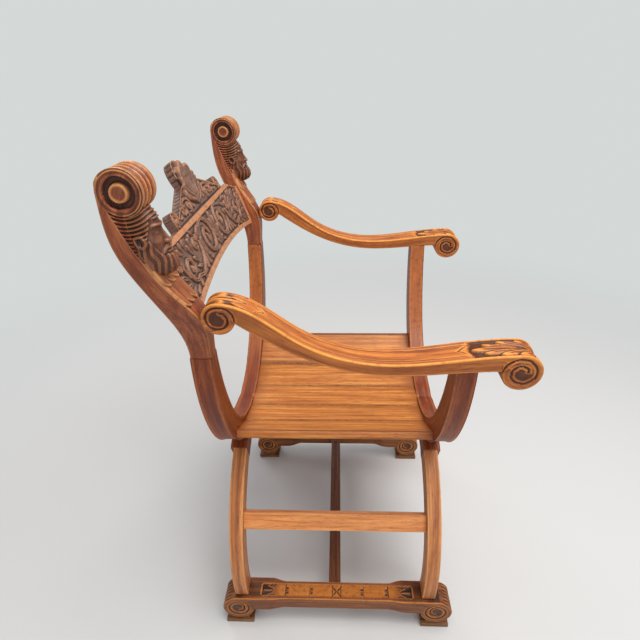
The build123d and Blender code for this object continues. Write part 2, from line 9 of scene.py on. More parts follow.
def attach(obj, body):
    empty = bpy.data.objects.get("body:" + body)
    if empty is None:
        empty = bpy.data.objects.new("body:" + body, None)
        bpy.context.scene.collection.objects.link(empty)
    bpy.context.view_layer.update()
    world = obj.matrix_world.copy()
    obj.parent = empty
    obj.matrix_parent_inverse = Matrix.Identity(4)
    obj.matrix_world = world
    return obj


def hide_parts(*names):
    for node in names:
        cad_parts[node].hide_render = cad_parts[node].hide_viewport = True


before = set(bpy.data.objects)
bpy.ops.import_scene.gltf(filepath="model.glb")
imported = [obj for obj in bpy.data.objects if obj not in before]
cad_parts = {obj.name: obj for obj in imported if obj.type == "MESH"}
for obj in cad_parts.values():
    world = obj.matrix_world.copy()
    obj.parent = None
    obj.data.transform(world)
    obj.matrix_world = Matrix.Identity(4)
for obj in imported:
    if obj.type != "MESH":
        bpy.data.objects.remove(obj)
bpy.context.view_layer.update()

# --- Sled feet and their pads --------------------------------------------------------------
# Two oak runners, each sawn from one baulk: a roll at either end with a scratched volute, a
# drawn-in waist, and a sunk, chip-cut channel along the top. Each stands on two pinned pads.

SIDES = (("left", 1), ("right", -1))
WELD = 2e-6
# Shares that darken a colour; hollow is the colour of painted shade in cuts and hollows.
SHADES_DEEPER = {"stained": (0.5, 0.40, 0.36), "dark": (0.35, 0.3, 0.3),
                 "hollow": (0.22, 0.22, 0.26)}


class Shade:
    """A shader socket that takes part in arithmetic: each operation adds its Math node."""

    def __init__(self, tree, socket=None):
        self.tree = tree
        self.socket = socket

    def make(self, kind, inputs=None, output=0, stops=None, **settings):
        """Adds one node: its settings and ramp stops first, then its sockets' values or links."""
        node = self.tree.nodes.new("ShaderNode" + kind)
        for name, value in settings.items():
            setattr(node, name, value)
        for spot, (place, shade) in enumerate(stops or ()):
            marks = node.color_ramp.elements
            mark = marks[spot] if spot < 2 else marks.new(place)
            mark.position = place
            mark.color = (*shade, 1)
        for key, value in (inputs or {}).items():
            if isinstance(value, Shade):
                self.tree.links.new(value.socket, node.inputs[key])
            else:
                node.inputs[key].default_value = value
        return Shade(self.tree, node.outputs[output] if node.outputs else None)

    def maths(self, operation, other):
        return self.make("Math", {0: self, 1: other}, operation=operation)

    def __rsub__(self, other):
        return self.make("Math", {0: other, 1: self}, operation="SUBTRACT")

    def __abs__(self):
        return self.make("Math", {0: self}, operation="ABSOLUTE")

    __add__ = __radd__ = partialmethod(maths, "ADD")
    __sub__ = partialmethod(maths, "SUBTRACT")
    __mul__ = __rmul__ = partialmethod(maths, "MULTIPLY")

    def between(self, low, high):
        """0 below low, 1 above high, smooth between them."""
        sockets = {"Value": self, "From Min": low, "From Max": high}
        return self.make("MapRange", sockets, interpolation_type="SMOOTHSTEP")

    def mixed(self, first, second):
        """Colour first where this mask is 0, second where it is 1."""
        return self.make("Mix", {0: self, 6: first, 7: second}, output=2, data_type="RGBA")


def bare_kit(owner):
    """The node tree of a material or a world, emptied, ready for shader arithmetic."""
    owner.use_nodes = True
    owner.node_tree.nodes.clear()
    return Shade(owner.node_tree)


def deeper(colour, name):
    """A colour darkened as far as the name says, as a shader takes it."""
    return (*(part * share for part, share in zip(colour, SHADES_DEEPER[name])), 1)


def waxed_wood(name, deep, body, bright, crosswise=False, wear_and_highlight=0.6, blotch=0.5, carved=False,
               sheen=0.36, seams=(), ends=None, gold=None):
    """Stained hardwood with long grain, pores, uneven stain, painted shade in its hollows, rubbed
    edges and wax. Carved pieces bring grain, painted shade and rubbing as attributes; on some
    of them the rubbing is partly a painted highlight. The others have grain along Y, or X if
    crosswise, and are rubbed where their edges turn. Seams are dark lines at both sides of
    X = 0, and ends say between which distances along Y the wood darkens."""
    material = bpy.data.materials.new(name)
    kit = bare_kit(material)
    place = kit.make("TexCoord", output="Object")
    if carved:
        along = kit.make("Attribute", output="Vector", attribute_name="lay")
    else:
        along = kit.make("Mapping", {"Vector": place, "Rotation": (0, 0, math.pi / 2 * crosswise)})

    def grain_noise(stretch, detail, distortion=0.0):
        laid = kit.make("Mapping", {"Vector": along, "Scale": stretch})
        return kit.make("TexNoise", {"Vector": laid, "Scale": 1.0, "Detail": detail,
                                     "Roughness": 0.6, "Distortion": distortion})

    broad = grain_noise((26.0, 7.0, 26.0), 4.0)
    streak = grain_noise((130.0, 5.0, 130.0), 6.0, 0.25)
    fibre = grain_noise((750.0, 42.0, 750.0), 3.0)
    mottle = kit.make("TexNoise", {"Vector": place, "Scale": 90.0, "Detail": 5.0,
                                   "Roughness": 0.65})
    tone = (streak * 0.8 + broad * 0.2).between(0.22, 0.78)
    colour = kit.make("ValToRGB", {"Fac": tone}, stops=((0.0, deep), (0.5, body), (1.0, bright)))
    stain = broad.between(0.44, 0.70) * blotch + mottle.between(0.55, 0.8) * (0.25 * blotch)
    colour = stain.mixed(colour, deeper(body, "stained"))
    pores = fibre.between(0.54, 0.66) * 0.5
    colour = pores.mixed(colour, deeper(deep, "dark"))
    for seam in seams:
        gap = abs(abs(kit.make("SeparateXYZ", {"Vector": place}, output="X")) - seam)
        grime = (gap + (broad - 0.5) * 0.010).between(0.001, 0.008)
        joint = (1 - gap.between(0.0008, 0.0020)) * 0.9 + (1 - grime) * 0.4
        colour = joint.mixed(colour, deeper(deep, "dark"))
    if ends:
        reach = abs(kit.make("SeparateXYZ", {"Vector": place}, output="Y")) + (broad - 0.5) * 0.05
        colour = (reach.between(*ends) * 0.75).mixed(colour, deeper(body, "stained"))
    if carved:
        # The relief attribute brings painted shade, which takes hollows and cuts towards the
        # hollow colour; the other attribute brings rubbing and, on some pieces, a painted
        # highlight.
        height = kit.make("Attribute", output="Fac", attribute_name="relief")
        corner = kit.make("Attribute", output="Fac", attribute_name="wear_and_highlight")
        hollow = (1 - height.between(0.0, 0.95)) * 0.92
        colour = hollow.mixed(colour, deeper(deep, "hollow"))
        rubbed = corner * mottle.between(0.2, 0.55) * wear_and_highlight
        rounded = kit.make("NewGeometry", output="Normal")
    else:
        rounded = kit.make("Bevel", {"Radius": 0.002}, samples=6)
        facing = kit.make("NewGeometry", output="Normal")
        edge = 1 - kit.make("VectorMath", {0: rounded, 1: facing}, output="Value",
                            operation="DOT_PRODUCT")
        rubbed = edge.between(0.01, 0.12) * mottle.between(0.3, 0.6) * wear_and_highlight
    # The gold is rubbing, and on some carved pieces also a painted highlight.
    gold = gold or (min(1.0, bright[0] * 1.25 + 0.07), bright[1] * 1.3 + 0.03,
                    bright[2] * 1.1 + 0.008)
    colour = rubbed.mixed(colour, (*gold, 1))
    rough = sheen + fibre * 0.1 + mottle * 0.16 - rubbed * 0.06
    bump = streak * 0.35 + fibre * 0.45 + mottle * 0.3
    normal = kit.make("Bump", {"Strength": 0.35, "Distance": 0.0006, "Height": bump,
                               "Normal": rounded})
    shader = kit.make("BsdfPrincipled", {
        "Base Color": colour, "Roughness": rough, "Normal": normal, "Specular IOR Level": 0.36,
        "Coat Weight": 0.05, "Coat Roughness": 0.22})
    kit.make("OutputMaterial", {"Surface": shader})
    return material


def finish_node(material, *names):
    """Puts a finish on the solids of these names as they stand."""
    for name in names:
        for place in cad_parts[name].material_slots:
            place.material = material


def smooth_line(points, count, start=None, finish=None):
    """Cubic spline through points by chord length. Its second derivatives solve the usual
    tridiagonal system; an end with a direction given is clamped to it, the other is free."""
    points = np.asarray(points, float)
    chords = np.hypot(*np.diff(points, axis=0).T)
    knots = np.concatenate(([0], np.cumsum(chords)))
    slopes = np.diff(points, axis=0) / chords[:, None]
    middle = np.concatenate((chords[:1], chords[:-1] + chords[1:], chords[-1:]))
    system = np.diag(2 * middle) + np.diag(chords, 1) + np.diag(chords, -1)
    goal = np.zeros((len(points), 2))
    goal[1:-1] = 6 * np.diff(slopes, axis=0)
    for end, away, slope, sign in ((0, start, slopes[0], 1), (-1, finish, slopes[-1], -1)):
        if away is None:
            system[end] = 0
            system[end, end] = 1
        else:
            goal[end] = 6 * sign * (slope - np.asarray(away, float))
    bends = np.linalg.solve(system, goal)
    at = np.linspace(0, knots[-1], count)
    i = np.clip(np.searchsorted(knots, at, side="right") - 1, 0, len(points) - 2)
    h = chords[i][:, None]
    a = (knots[i + 1] - at)[:, None]
    b = (at - knots[i])[:, None]
    curve = (bends[i] * a**3 + bends[i + 1] * b**3) / (6 * h)
    curve += (points[i] / h - bends[i] * h / 6) * a
    return curve + (points[i + 1] / h - bends[i + 1] * h / 6) * b


def arc(centre, radius, first, last, count):
    """Points round a centre from one angle to another, in degrees."""
    turn = np.radians(np.linspace(first, last, count))
    return np.stack((centre[0] + radius * np.cos(turn), centre[1] + radius * np.sin(turn)), 1)


def polar(a, b, centre):
    """Distance from a centre and angle round it, in degrees."""
    a, b = a - centre[0], b - centre[1]
    return np.hypot(a, b), np.degrees(np.arctan2(b, a))


def resampled(line, count):
    """As many points as asked for, evenly spaced by their place in the line's list."""
    share = np.linspace(0, len(line) - 1, count)
    return np.stack([np.interp(share, np.arange(len(line)), part) for part in line.T], 1)


def scrolled_outline(top, base, rolls, count):
    """Edge line and spine of a bar with a roll at each end, anticlockwise. Its top runs from
    over the far roll's centre to over the near one's. Its base runs back from where it leaves
    the near roll to where it meets the far one, at the angles that come with the rolls."""
    (far, far_radius, far_angle), (near, near_radius, near_angle) = rolls
    far, near = np.array(far), np.array(near)
    near_roll = arc(near, near_radius, 90, 360 + near_angle, count)[1:]
    far_roll = arc(far, far_radius, far_angle, 450, count)[:-1]
    first, last = (int(np.argmin(np.abs(top[:, 0] - base[end, 0]))) for end in (-1, 0))
    paired = resampled(base, last - first)
    middle = (top[first:last] + paired[::-1]) / 2
    spine_in = np.linspace(far, middle[0], first)
    spine_out = np.linspace(middle[-1], near, len(top) - last)
    edge = np.concatenate((top, near_roll, np.repeat(base[:1], len(spine_out), 0), paired,
                           np.repeat(base[-1:], len(spine_in), 0), far_roll))
    spine = np.concatenate((spine_in, middle, spine_out, np.repeat(near[None], len(near_roll), 0),
                            spine_out[::-1], middle[::-1], spine_in[::-1],
                            np.repeat(far[None], len(far_roll), 0)))
    return edge, spine


def step(value, low, high):
    """Smoothstep: 0 at low, 1 at high."""
    share = np.clip((value - low) / (high - low), 0, 1)
    return share * share * (3 - 2 * share)


def within(offset, half, soft):
    """1 where an offset is under half either way, falling to 0 over the last soft of it."""
    return step(half - np.abs(offset), 0, soft)


def groove(distance, half):
    """Rounded groove of unit depth where the distance to its line is under half."""
    return -np.clip(1 - (distance / half) ** 2, 0, 1)


def swell(distance, half):
    """Rounded ridge of unit height over a line, about as wide as half at each side."""
    return np.exp(-((distance / half) ** 2))


def grid_faces(rows, columns, wrap=False):
    """Quads between neighbouring rows and columns of a grid of points."""
    index = np.arange(rows * columns).reshape(rows, columns)
    across = np.roll(index, -1, 1) if wrap else index[:, 1:]
    here = index if wrap else index[:, :-1]
    quads = (here[:-1], across[:-1], across[1:], here[1:])
    return np.stack([corner.ravel() for corner in quads], 1)


def put_mesh(name, points, faces, lay, relief, wear_and_highlight, material, node=None):
    """A closed mesh from a grid of points: points that coincide are welded, and the quads that
    this flattens become triangles or go. It carries where each point lies across and along the
    grain, how much painted shade and stain darken it, and how much gold it gets for rubbing
    and for painted highlights."""
    _, first, weld = np.unique(np.round(points / WELD).astype(np.int64), axis=0,
                               return_index=True, return_inverse=True)
    faces = weld.reshape(-1)[faces]
    same = faces == np.roll(faces, -1, 1)
    merged = same.sum(1)
    fours = faces[merged == 0]
    threes = faces[merged == 1][~same[merged == 1]].reshape(-1, 3)
    loops = np.concatenate((fours.ravel(), threes.ravel()))
    sizes = np.repeat((4, 3), (len(fours), len(threes)))
    mesh = bpy.data.meshes.new(name)
    mesh.vertices.add(len(first))
    mesh.vertices.foreach_set("co", points[first].astype(np.float32).ravel())
    mesh.loops.add(len(loops))
    mesh.loops.foreach_set("vertex_index", loops.astype(np.int32))
    mesh.polygons.add(len(sizes))
    mesh.polygons.foreach_set("loop_start", (np.cumsum(sizes) - sizes).astype(np.int32))
    for label, kind, field, values in (("relief", "FLOAT", "value", relief.ravel()),
                                       ("wear_and_highlight", "FLOAT", "value", wear_and_highlight.ravel()),
                                       ("lay", "FLOAT_VECTOR", "vector", lay.reshape(-1, 3))):
        layer = mesh.attributes.new(label, kind, "POINT")
        layer.data.foreach_set(field, values[first].astype(np.float32).ravel())
    mesh.polygons.foreach_set("use_smooth", np.ones(len(sizes), dtype=bool))
    mesh.update(calc_edges=True)
    mesh.validate()
    mesh.materials.append(material)
    piece = bpy.data.objects.new(name, mesh)
    bpy.context.collection.objects.link(piece)
    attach(piece, "root")
    if node:
        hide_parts(node)
    return piece


BORDER_RUB = 0.7
RIM_RUB = 0.6
EDGE_WEAR = 0.9
RIDGE_WORN = (0.0002, 0.0012)


def hew(name, edge, spine, span, material, node, side, rows, turned="yzx", edge_relief=None,
        side_relief=None, rounding=0.0018, flat_wear=0.9, shadow_depth=0.006, flat_painted_shade=0.0,
        sharp=0.0011):
    """A solid hewn from the plank. Its closed edge line is carried across the plank between
    two flats with rounded corners, and each flat runs in from the edge line to a spine.
    turned names the axes of the edge line and of the way across; side is -1 to mirror the
    piece in X; rows are the numbers of rings on a flat and a corner and the rings' places over
    the edge. span(a, b) gives the flats' places; reliefs move the edge outwards and the flats
    off, and may add rubbing, stain, painted highlight and painted shade. Corners are rubbed,
    most of all on top. Both flats can also be given painted shade all over. A cut gets painted
    shade where it is sharp, and all over once it is as deep as the given shadow depth."""
    forward = np.roll(edge, -1, 0) - np.roll(edge, 1, 0)
    long = np.maximum(np.hypot(*forward.T), 1e-9)[:, None]
    out = np.stack((forward[:, 1], -forward[:, 0]), 1) / long
    out[np.hypot(*out.T) < 0.5] = 0
    travelled = np.concatenate(([0], np.cumsum(np.hypot(*np.diff(edge, axis=0).T))))
    steps = np.diff(spine, axis=0, append=spine[:1])
    run = np.hypot(*steps.T)
    gone = np.cumsum(run) - run
    along = np.minimum(gone, run.sum() - gone)
    way = steps / np.maximum(run, 1e-9)[:, None] * np.where(gone < run.sum() / 2, 1, -1)[:, None]
    way = way[np.maximum.accumulate(np.where(run > 1e-7, np.arange(len(run)), 0))]

    def laid(at, c):
        off = at - spine
        return np.stack((off[:, 0] * way[:, 1] - off[:, 1] * way[:, 0],
                         along + (off * way).sum(1), np.broadcast_to(c, len(at))), 1)

    def carved(relief_of, *where):
        result = relief_of(*where) if relief_of else 0.0
        parts = result if isinstance(result, tuple) else (result, 0.0, 0.0)
        return [np.broadcast_to(part, len(edge)) for part in parts]

    flat_rows, corner_rows, edge_places = rows
    border = edge - rounding * out
    upper = 0.22 + 0.78 * step(out[:, turned.index("z")], 0.0, 0.75)
    low, high = span(edge[:, 0], edge[:, 1])
    rings = []
    for face in (-1, 1):
        ring = []
        for share in np.linspace(1, 0, flat_rows):
            at = border + (spine - border) * share
            flat = span(at[:, 0], at[:, 1])[face > 0]
            depth, wear, stain = carved(side_relief, at[:, 0], at[:, 1], face)
            ring.append((at, flat + face * depth, depth, wear + BORDER_RUB * (share == 0),
                         flat_wear, stain + flat_painted_shade))
        for turn in np.radians(np.linspace(0, 90, corner_rows + 2)[1:-1]):
            at = edge - rounding * (1 - math.sin(turn)) * out
            flat = (low, high)[face > 0] - face * rounding * (1 - math.cos(turn))
            depth, wear, stain = carved(side_relief, at[:, 0], at[:, 1], face)
            depth = depth * math.cos(turn)
            ring.append((at, flat + face * depth, depth, wear + upper, 0, stain))
        if face < 0:
            rings += ring
            for share in edge_places:
                across = low + rounding + (high - low - 2 * rounding) * share
                rise, wear, stain = carved(edge_relief, travelled, across, edge, share)
                rings.append((edge + rise[:, None] * out, across, rise,
                              wear + RIM_RUB * (share in (0, 1)), EDGE_WEAR, stain))
        else:
            rings += ring[::-1]
    stack = np.array([np.column_stack((at, c)) for at, c, *_ in rings])
    lay = np.array([laid(at, c) for at, c, *_ in rings])
    relief, rub_and_highlight, carve, stain = (
        np.array([np.broadcast_to(ring[k], len(edge)) for ring in rings]) for k in (2, 3, 4, 5))
    ridge = relief - (np.roll(relief, 3, 1) + np.roll(relief, -3, 1)) / 2
    ridge[2:-2] += relief[2:-2] - (relief[4:] + relief[:-4]) / 2
    wear_and_highlight = np.clip(rub_and_highlight + step(ridge, *RIDGE_WORN) * carve, 0, 1)
    # shade darkens the finish: the reliefs' stain and painted shade, and painted shade in sharp
    # cuts and, by depth, in hollows.
    shade = np.clip(1 - stain + ridge / sharp + np.minimum(relief, 0) / shadow_depth, 0, 1)
    places = stack.reshape(-1, 3)[:, [turned.index(axis) for axis in "xyz"]] * (side, 1, 1)
    faces = grid_faces(len(stack), len(edge), wrap=True)[:, ::side]
    return put_mesh(name, places, faces, lay, shade, wear_and_highlight, material, node)


def volute_relief(a, b, centre, radius, start, sense, pitch, cut, width, dark=0.28, calm=0.0):
    """Depth of a volute's flat, the rubbing of the fine bead inside its cut spiral, and the
    stain in the round, which is dished a little. The spiral's radius falls from its start as
    pitch says, by quarters of a turn, as shares of the volute's."""
    away, turn = polar(a, b, centre)
    share = np.mod(sense * (turn - start), 360) / 360
    quarters = np.arange(len(pitch)) / 4
    nearest = np.full(np.shape(a), 1.0)
    for lap in range(math.ceil(quarters[-1])):
        line = np.interp(share + lap, quarters, pitch) * radius
        gap = np.where(share + lap <= quarters[-1], away - line, 1.0)
        nearest = np.where(np.abs(gap) < np.abs(nearest), gap, nearest)
    inside = step(radius * 1.02 - away, 0, 0.003)
    bead = swell(nearest + 1.45 * width, 0.42 * width) * inside
    dish = 0.0012 * step(radius * 0.75 - away, 0, radius * 0.5)
    depth = inside * (cut * groove(nearest, width) - dish) + 0.0006 * bead
    return (depth, 0.12 * bead - calm * inside,
            dark * step(radius * 0.84 - away, 0, radius * 0.2))


SLED_MID_Y = -0.0065
SLED_TOP = 0.091
SLED_SIDES = (0.243, 0.297)
SLED_WAIST_DRAWN = (0.008, -0.003)
SLED_WAIST = (0.118, 0.154)
SLED_NECK = (0.118, 0.174)
SLED_BASES = (0.057, 0.050)
SLED_COUNTS = (420, 130)
ROLL_RADIUS = 0.036
ROLL_HALF = 0.2295
ROLL_Z = SLED_TOP - ROLL_RADIUS
ROLL_VOLUTE = 0.027
ROLL_PITCH = (1, 0.9, 0.82, 0.8, 0.75, 0.5, 0.45)
CHANNEL_X = 0.2725
CHANNEL_HALF = (0.0145, 0.174)
CHANNEL_DEPTH = 0.0024
RIB_DEPTH = 0.0024
LOBE_DEPTH = 0.0026
CHIP = (0.0014, 0.0085)
CROSS_CUTS = np.array((0.0100, 0.0630, 0.1195))
MARK_DEPTHS = (0.0018, 0.0024, 0.0024)
PETAL = (0.0098, 0.0032)
FAN_FOOT = 0.139
FAN_START = 0.146
ROLL_LOBES = 6


def sled_span(y, z):
    """Sides of a sled at each place along it, drawn in at its waist."""
    drawn = within(y - SLED_MID_Y, SLED_WAIST[1], SLED_WAIST[1] - SLED_WAIST[0])
    return [flat + most * drawn for flat, most in zip(SLED_SIDES, SLED_WAIST_DRAWN)]


def sled_top_relief(travelled, x, edge, share):
    """Sunk channel with chip-cut edges and fanned ends, six cross cuts with wedges beside them,
    four petals in the middle, and gadrooned roll ends."""
    along = np.abs(edge[:, 0] - SLED_MID_Y)
    aside = np.abs(x - CHANNEL_X)
    top = edge[:, 1] > SLED_TOP - 0.0005
    chip = CHIP[0] * np.abs(np.sin(along * math.pi / CHIP[1]))
    inside = step(CHANNEL_HALF[0] - chip - aside, -0.0004, 0.0006)
    inside = inside * step(CHANNEL_HALF[1] - along, -0.0004, 0.0008)
    gap = along - CROSS_CUTS[np.abs(along[:, None] - CROSS_CUTS).argmin(1)]
    back = np.where(gap < 0, -gap, 1)
    outer = groove(np.abs(aside - 0.0052) - 0.20 * back, 0.0034 - 0.33 * back) * (back < 0.0085)
    inner = groove(aside, np.clip(0.0024 - 0.30 * (back - 0.001), 1e-4, 1)) * (back < 0.007)
    wedge = np.where(back > 0.0012, np.minimum(outer, inner), 0) * (along > CROSS_CUTS[0])
    half = np.clip(PETAL[1] * np.sin(np.clip(along / PETAL[0], 0, 1) * math.pi), 1e-4, 1)
    petal = groove(np.abs(aside - along), half) * (along < 0.0094)
    cuts = (groove(gap, 0.0010), wedge, petal)
    marks = np.min([depth * cut for depth, cut in zip(MARK_DEPTHS, cuts)], axis=0) * inside
    fan = step(along - 0.5 * aside, FAN_START, FAN_START + 0.004) * inside
    ribs = -RIB_DEPTH * fan * np.abs(np.sin(np.arctan2(aside, along - FAN_FOOT) * 6.5))
    roll = step(along - ROLL_HALF, 0.004, 0.012) * step(0.09 - edge[:, 1], 0.0, 0.006)
    lobes = np.abs(np.sin((share - 0.02) / 0.96 * math.pi * ROLL_LOBES)) ** 0.6
    floor = top * inside * step(0.150 - along, 0, 0.02)
    end_stain = top * step(along, 0.135, 0.165) * (1 - 0.3 * (aside > CHANNEL_HALF[0] + 0.002))
    sunk = np.where(top, marks + ribs - CHANNEL_DEPTH * inside, 0)
    return (sunk - LOBE_DEPTH * (1 - lobes) * roll, 0.95 * floor * (marks > -0.0006),
            0.55 * end_stain + 0.35 * step(along, 0.205, 0.225))


def sled_side_relief(y, z, face):
    """Volutes scratched on the flats of a sled's rolls, with the old stain left in them."""
    depth, wear, stain = 0.0, 0.0, 0.2 * step(np.abs(y - SLED_MID_Y), 0.12, 0.17)
    for end in (-1, 1):
        cut, bead, dark = volute_relief(y, z, (SLED_MID_Y + end * ROLL_HALF, ROLL_Z), ROLL_VOLUTE,
                                        90, end, ROLL_PITCH, cut=0.0026, width=0.0018)
        depth, wear, stain = depth + cut, wear + 0.4 * bead, stain + dark
    return depth, wear, stain


def sled_outline():
    """Edge line and spine of a sled, whose underside rises a little between its necks."""
    meet = math.degrees(math.asin((SLED_BASES[1] - ROLL_Z) / ROLL_RADIUS))
    reach = ROLL_RADIUS * math.cos(math.radians(meet))
    share = np.linspace(1, -1, SLED_COUNTS[0])
    top = np.stack((SLED_MID_Y + ROLL_HALF * share, np.full(len(share), SLED_TOP)), 1)
    along = (reach - ROLL_HALF) * share
    rise = within(along, SLED_NECK[1], SLED_NECK[1] - SLED_NECK[0])
    low = SLED_BASES[1] + (SLED_BASES[0] - SLED_BASES[1]) * rise
    rolls = [((SLED_MID_Y + end * ROLL_HALF, ROLL_Z), ROLL_RADIUS, angle)
             for end, angle in ((1, 180 - meet), (-1, meet))]
    return scrolled_outline(top, np.stack((SLED_MID_Y + along, low), 1), rolls, SLED_COUNTS[1])


runner_wood = waxed_wood("runner_wood", (0.075, 0.020, 0.006), (0.22, 0.066, 0.017),
                         (0.42, 0.150, 0.036), carved=True, gold=(0.68, 0.225, 0.026))
pad_wood = waxed_wood("pad_wood", (0.06, 0.022, 0.009), (0.20, 0.080, 0.028), (0.36, 0.17, 0.06))
sled_line = sled_outline()
for name, side in SIDES:
    hew(f"runner_{name}", *sled_line, sled_span, runner_wood, f"sled_{name}", side,
        (16, 3, np.linspace(0, 1, 44)), edge_relief=sled_top_relief,
        side_relief=sled_side_relief, shadow_depth=0.02)
finish_node(pad_wood, "foot_pads")

# --- Legs, stretchers and crossbar ---------------------------------------------------------
# Four curved legs stand in mortises on the runners, their show faces channelled and nicked.
# Flat stretchers tie each pair of legs, and a crossbar with a sunk top joins the runners.

FRAMES = (("front", -1), ("back", 1))
LEG_DEPTH = {"front": (-0.2318, -0.2018), "back": (0.1982, 0.2282)}
LEG_CHANNEL_HALF = 0.0115
LEG_NICK = (4.6, 1.55, 0.0042)
LEG_CUTS = (0.0016, 0.0022)
ARCH_RADII = (0.293, 0.252)
ARCH_Z = (0.152, 0.146)
SPLICE_ANGLE = 61
FRAME_ROWS = (20, 3, np.linspace(0, 1, 8))


def level(depth):
    """Flats of a member that is as thick all along."""
    return lambda a, b: [np.full(np.shape(a), place) for place in depth]


def strip_loop(first, second, cap=10):
    """Closed edge line round a bar between its two long edges, and its spine between them."""
    middle = (first + second) / 2
    far_end = np.linspace(first[-1], second[-1], cap + 2)[1:-1]
    near_end = np.linspace(second[0], first[0], cap + 2)[1:-1]
    edge = np.concatenate((first, far_end, second[::-1], near_end))
    spine = np.concatenate((middle, np.repeat(middle[-1:], cap, 0), middle[::-1],
                            np.repeat(middle[:1], cap, 0)))
    return edge, spine


def off_beat(value, pitch):
    """Distance to the nearest multiple of a pitch."""
    return np.abs(value / pitch - np.round(value / pitch)) * pitch


def almond(along, long, aside, wide):
    """Unit height of a rounded boss or nick, from how far off its middle a point lies."""
    return np.clip(1 - (along / long) ** 2 - (aside / wide) ** 2, 0, 1)


def leg_edges(count=150):
    """Outer and inner edge of the +X leg as (z, x), from its splice down to the runner."""
    edges = []
    for radius, centre_z in zip(ARCH_RADII, ARCH_Z):
        foot = math.degrees(math.asin((SLED_TOP - centre_z) / radius))
        edges.append(arc((0, centre_z), radius, SPLICE_ANGLE, foot, count)[:, ::-1])
    return edges


def leg_relief(z, x, face, shown):
    """Show face of a leg: a flat-bottomed channel with long nicks down its middle."""
    away = np.hypot(x, z - sum(ARCH_Z) / 2) - sum(ARCH_RADII) / 2
    turn = np.degrees(np.arctan2(z - ARCH_Z[0], np.abs(x)))
    channel = within(away, LEG_CHANNEL_HALF, 0.0016) * step(56 - turn, 0, 0.5)
    channel = channel * step(z, 0.112, 0.114)
    pitch, long, wide = LEG_NICK
    nicks = almond(off_beat(turn, pitch), long, away, wide)
    return np.where(face == shown, -channel * (LEG_CUTS[0] + LEG_CUTS[1] * nicks), 0)


leg_wood = waxed_wood("leg_wood", (0.20, 0.055, 0.018), (0.52, 0.185, 0.060),
                      (0.74, 0.34, 0.125), carved=True)
rail_wood = waxed_wood("rail_wood", (0.34, 0.095, 0.028), (0.74, 0.27, 0.080),
                       (0.88, 0.42, 0.14), blotch=0.3)
bar_wood = waxed_wood("bar_wood", (0.050, 0.016, 0.009), (0.15, 0.048, 0.020),
                      (0.29, 0.105, 0.040), crosswise=True)
peg_wood = waxed_wood("peg_wood", (0.055, 0.014, 0.005), (0.16, 0.042, 0.013),
                      (0.30, 0.100, 0.030), crosswise=True)
leg_line = strip_loop(*leg_edges())
for end, shown in FRAMES:
    for name, side in SIDES:
        hew(f"leg_{end}_{name}", *leg_line, level(LEG_DEPTH[end]), leg_wood,
            f"{end}_leg_{name}", side, FRAME_ROWS, "zxy",
            side_relief=partial(leg_relief, shown=shown))
finish_node(peg_wood, "leg_splice_tenons")
finish_node(rail_wood, "side_stretcher_left", "side_stretcher_right")
finish_node(bar_wood, "cross_bar")

# --- S members -----------------------------------------------------------------------------
# Each frame is two S-shaped members, halved into each other where they cross: half of the U
# under the sitter on one side, and a shoulder of the arch under it on the other.

FRAME_DEPTH = {"front": (-0.2378, -0.2018), "back": (0.1982, 0.2342)}
MEMBER_TOPS = {"front": 0.741, "back": 0.748}
MEMBER_COUNT = 420
U_RADII = (0.240, 0.287)
U_Z = 0.693
LEAN_RADII = (0.450, 0.360)
LEAN_START = 60
GADROON_PITCH = 3.1
GADROON_HALF = 0.0165
GADROON_CUTS = (0.0006, 0.0040)
MEMBER_NICK = (4.4, 1.3, 0.0022)
MEMBER_NICK_CUT = 0.0024
LAP_HALF = 0.110
LAP_CUT = 0.0005


def u_edge(which, top_z, count):
    """One edge of the +X half of the U as (z, x), from the middle up to a level cut."""
    low = arc((0, U_Z), U_RADII[which], -90, LEAN_START - 90, count)
    turn = math.radians(LEAN_START)
    shift = LEAN_RADII[which] - U_RADII[which]
    centre = (-shift * math.sin(turn), U_Z + shift * math.cos(turn))
    last = math.degrees(math.asin((top_z - centre[1]) / LEAN_RADII[which]))
    lean = arc(centre, LEAN_RADII[which], LEAN_START - 90, last, count)
    return np.concatenate((low[:-1], lean))[:, ::-1]


def member_edges(top_z):
    """Both edges of a +X member: up the U on its own side, down the arch on the other."""
    edges = []
    for which, (radius, centre_z) in enumerate(zip(ARCH_RADII, ARCH_Z)):
        upper = u_edge(which, top_z, 110)[::-1]
        arch = arc((0, centre_z), radius, 90, 180 - SPLICE_ANGLE, 60)[:, ::-1]
        halves = (upper[upper[:, 1] > 0.02], arch[arch[:, 1] < -0.02])
        picked = [line[np.linspace(0, len(line) - 1, 20).astype(int)] for line in halves]
        edges.append(smooth_line(np.concatenate(picked), MEMBER_COUNT))
    return edges


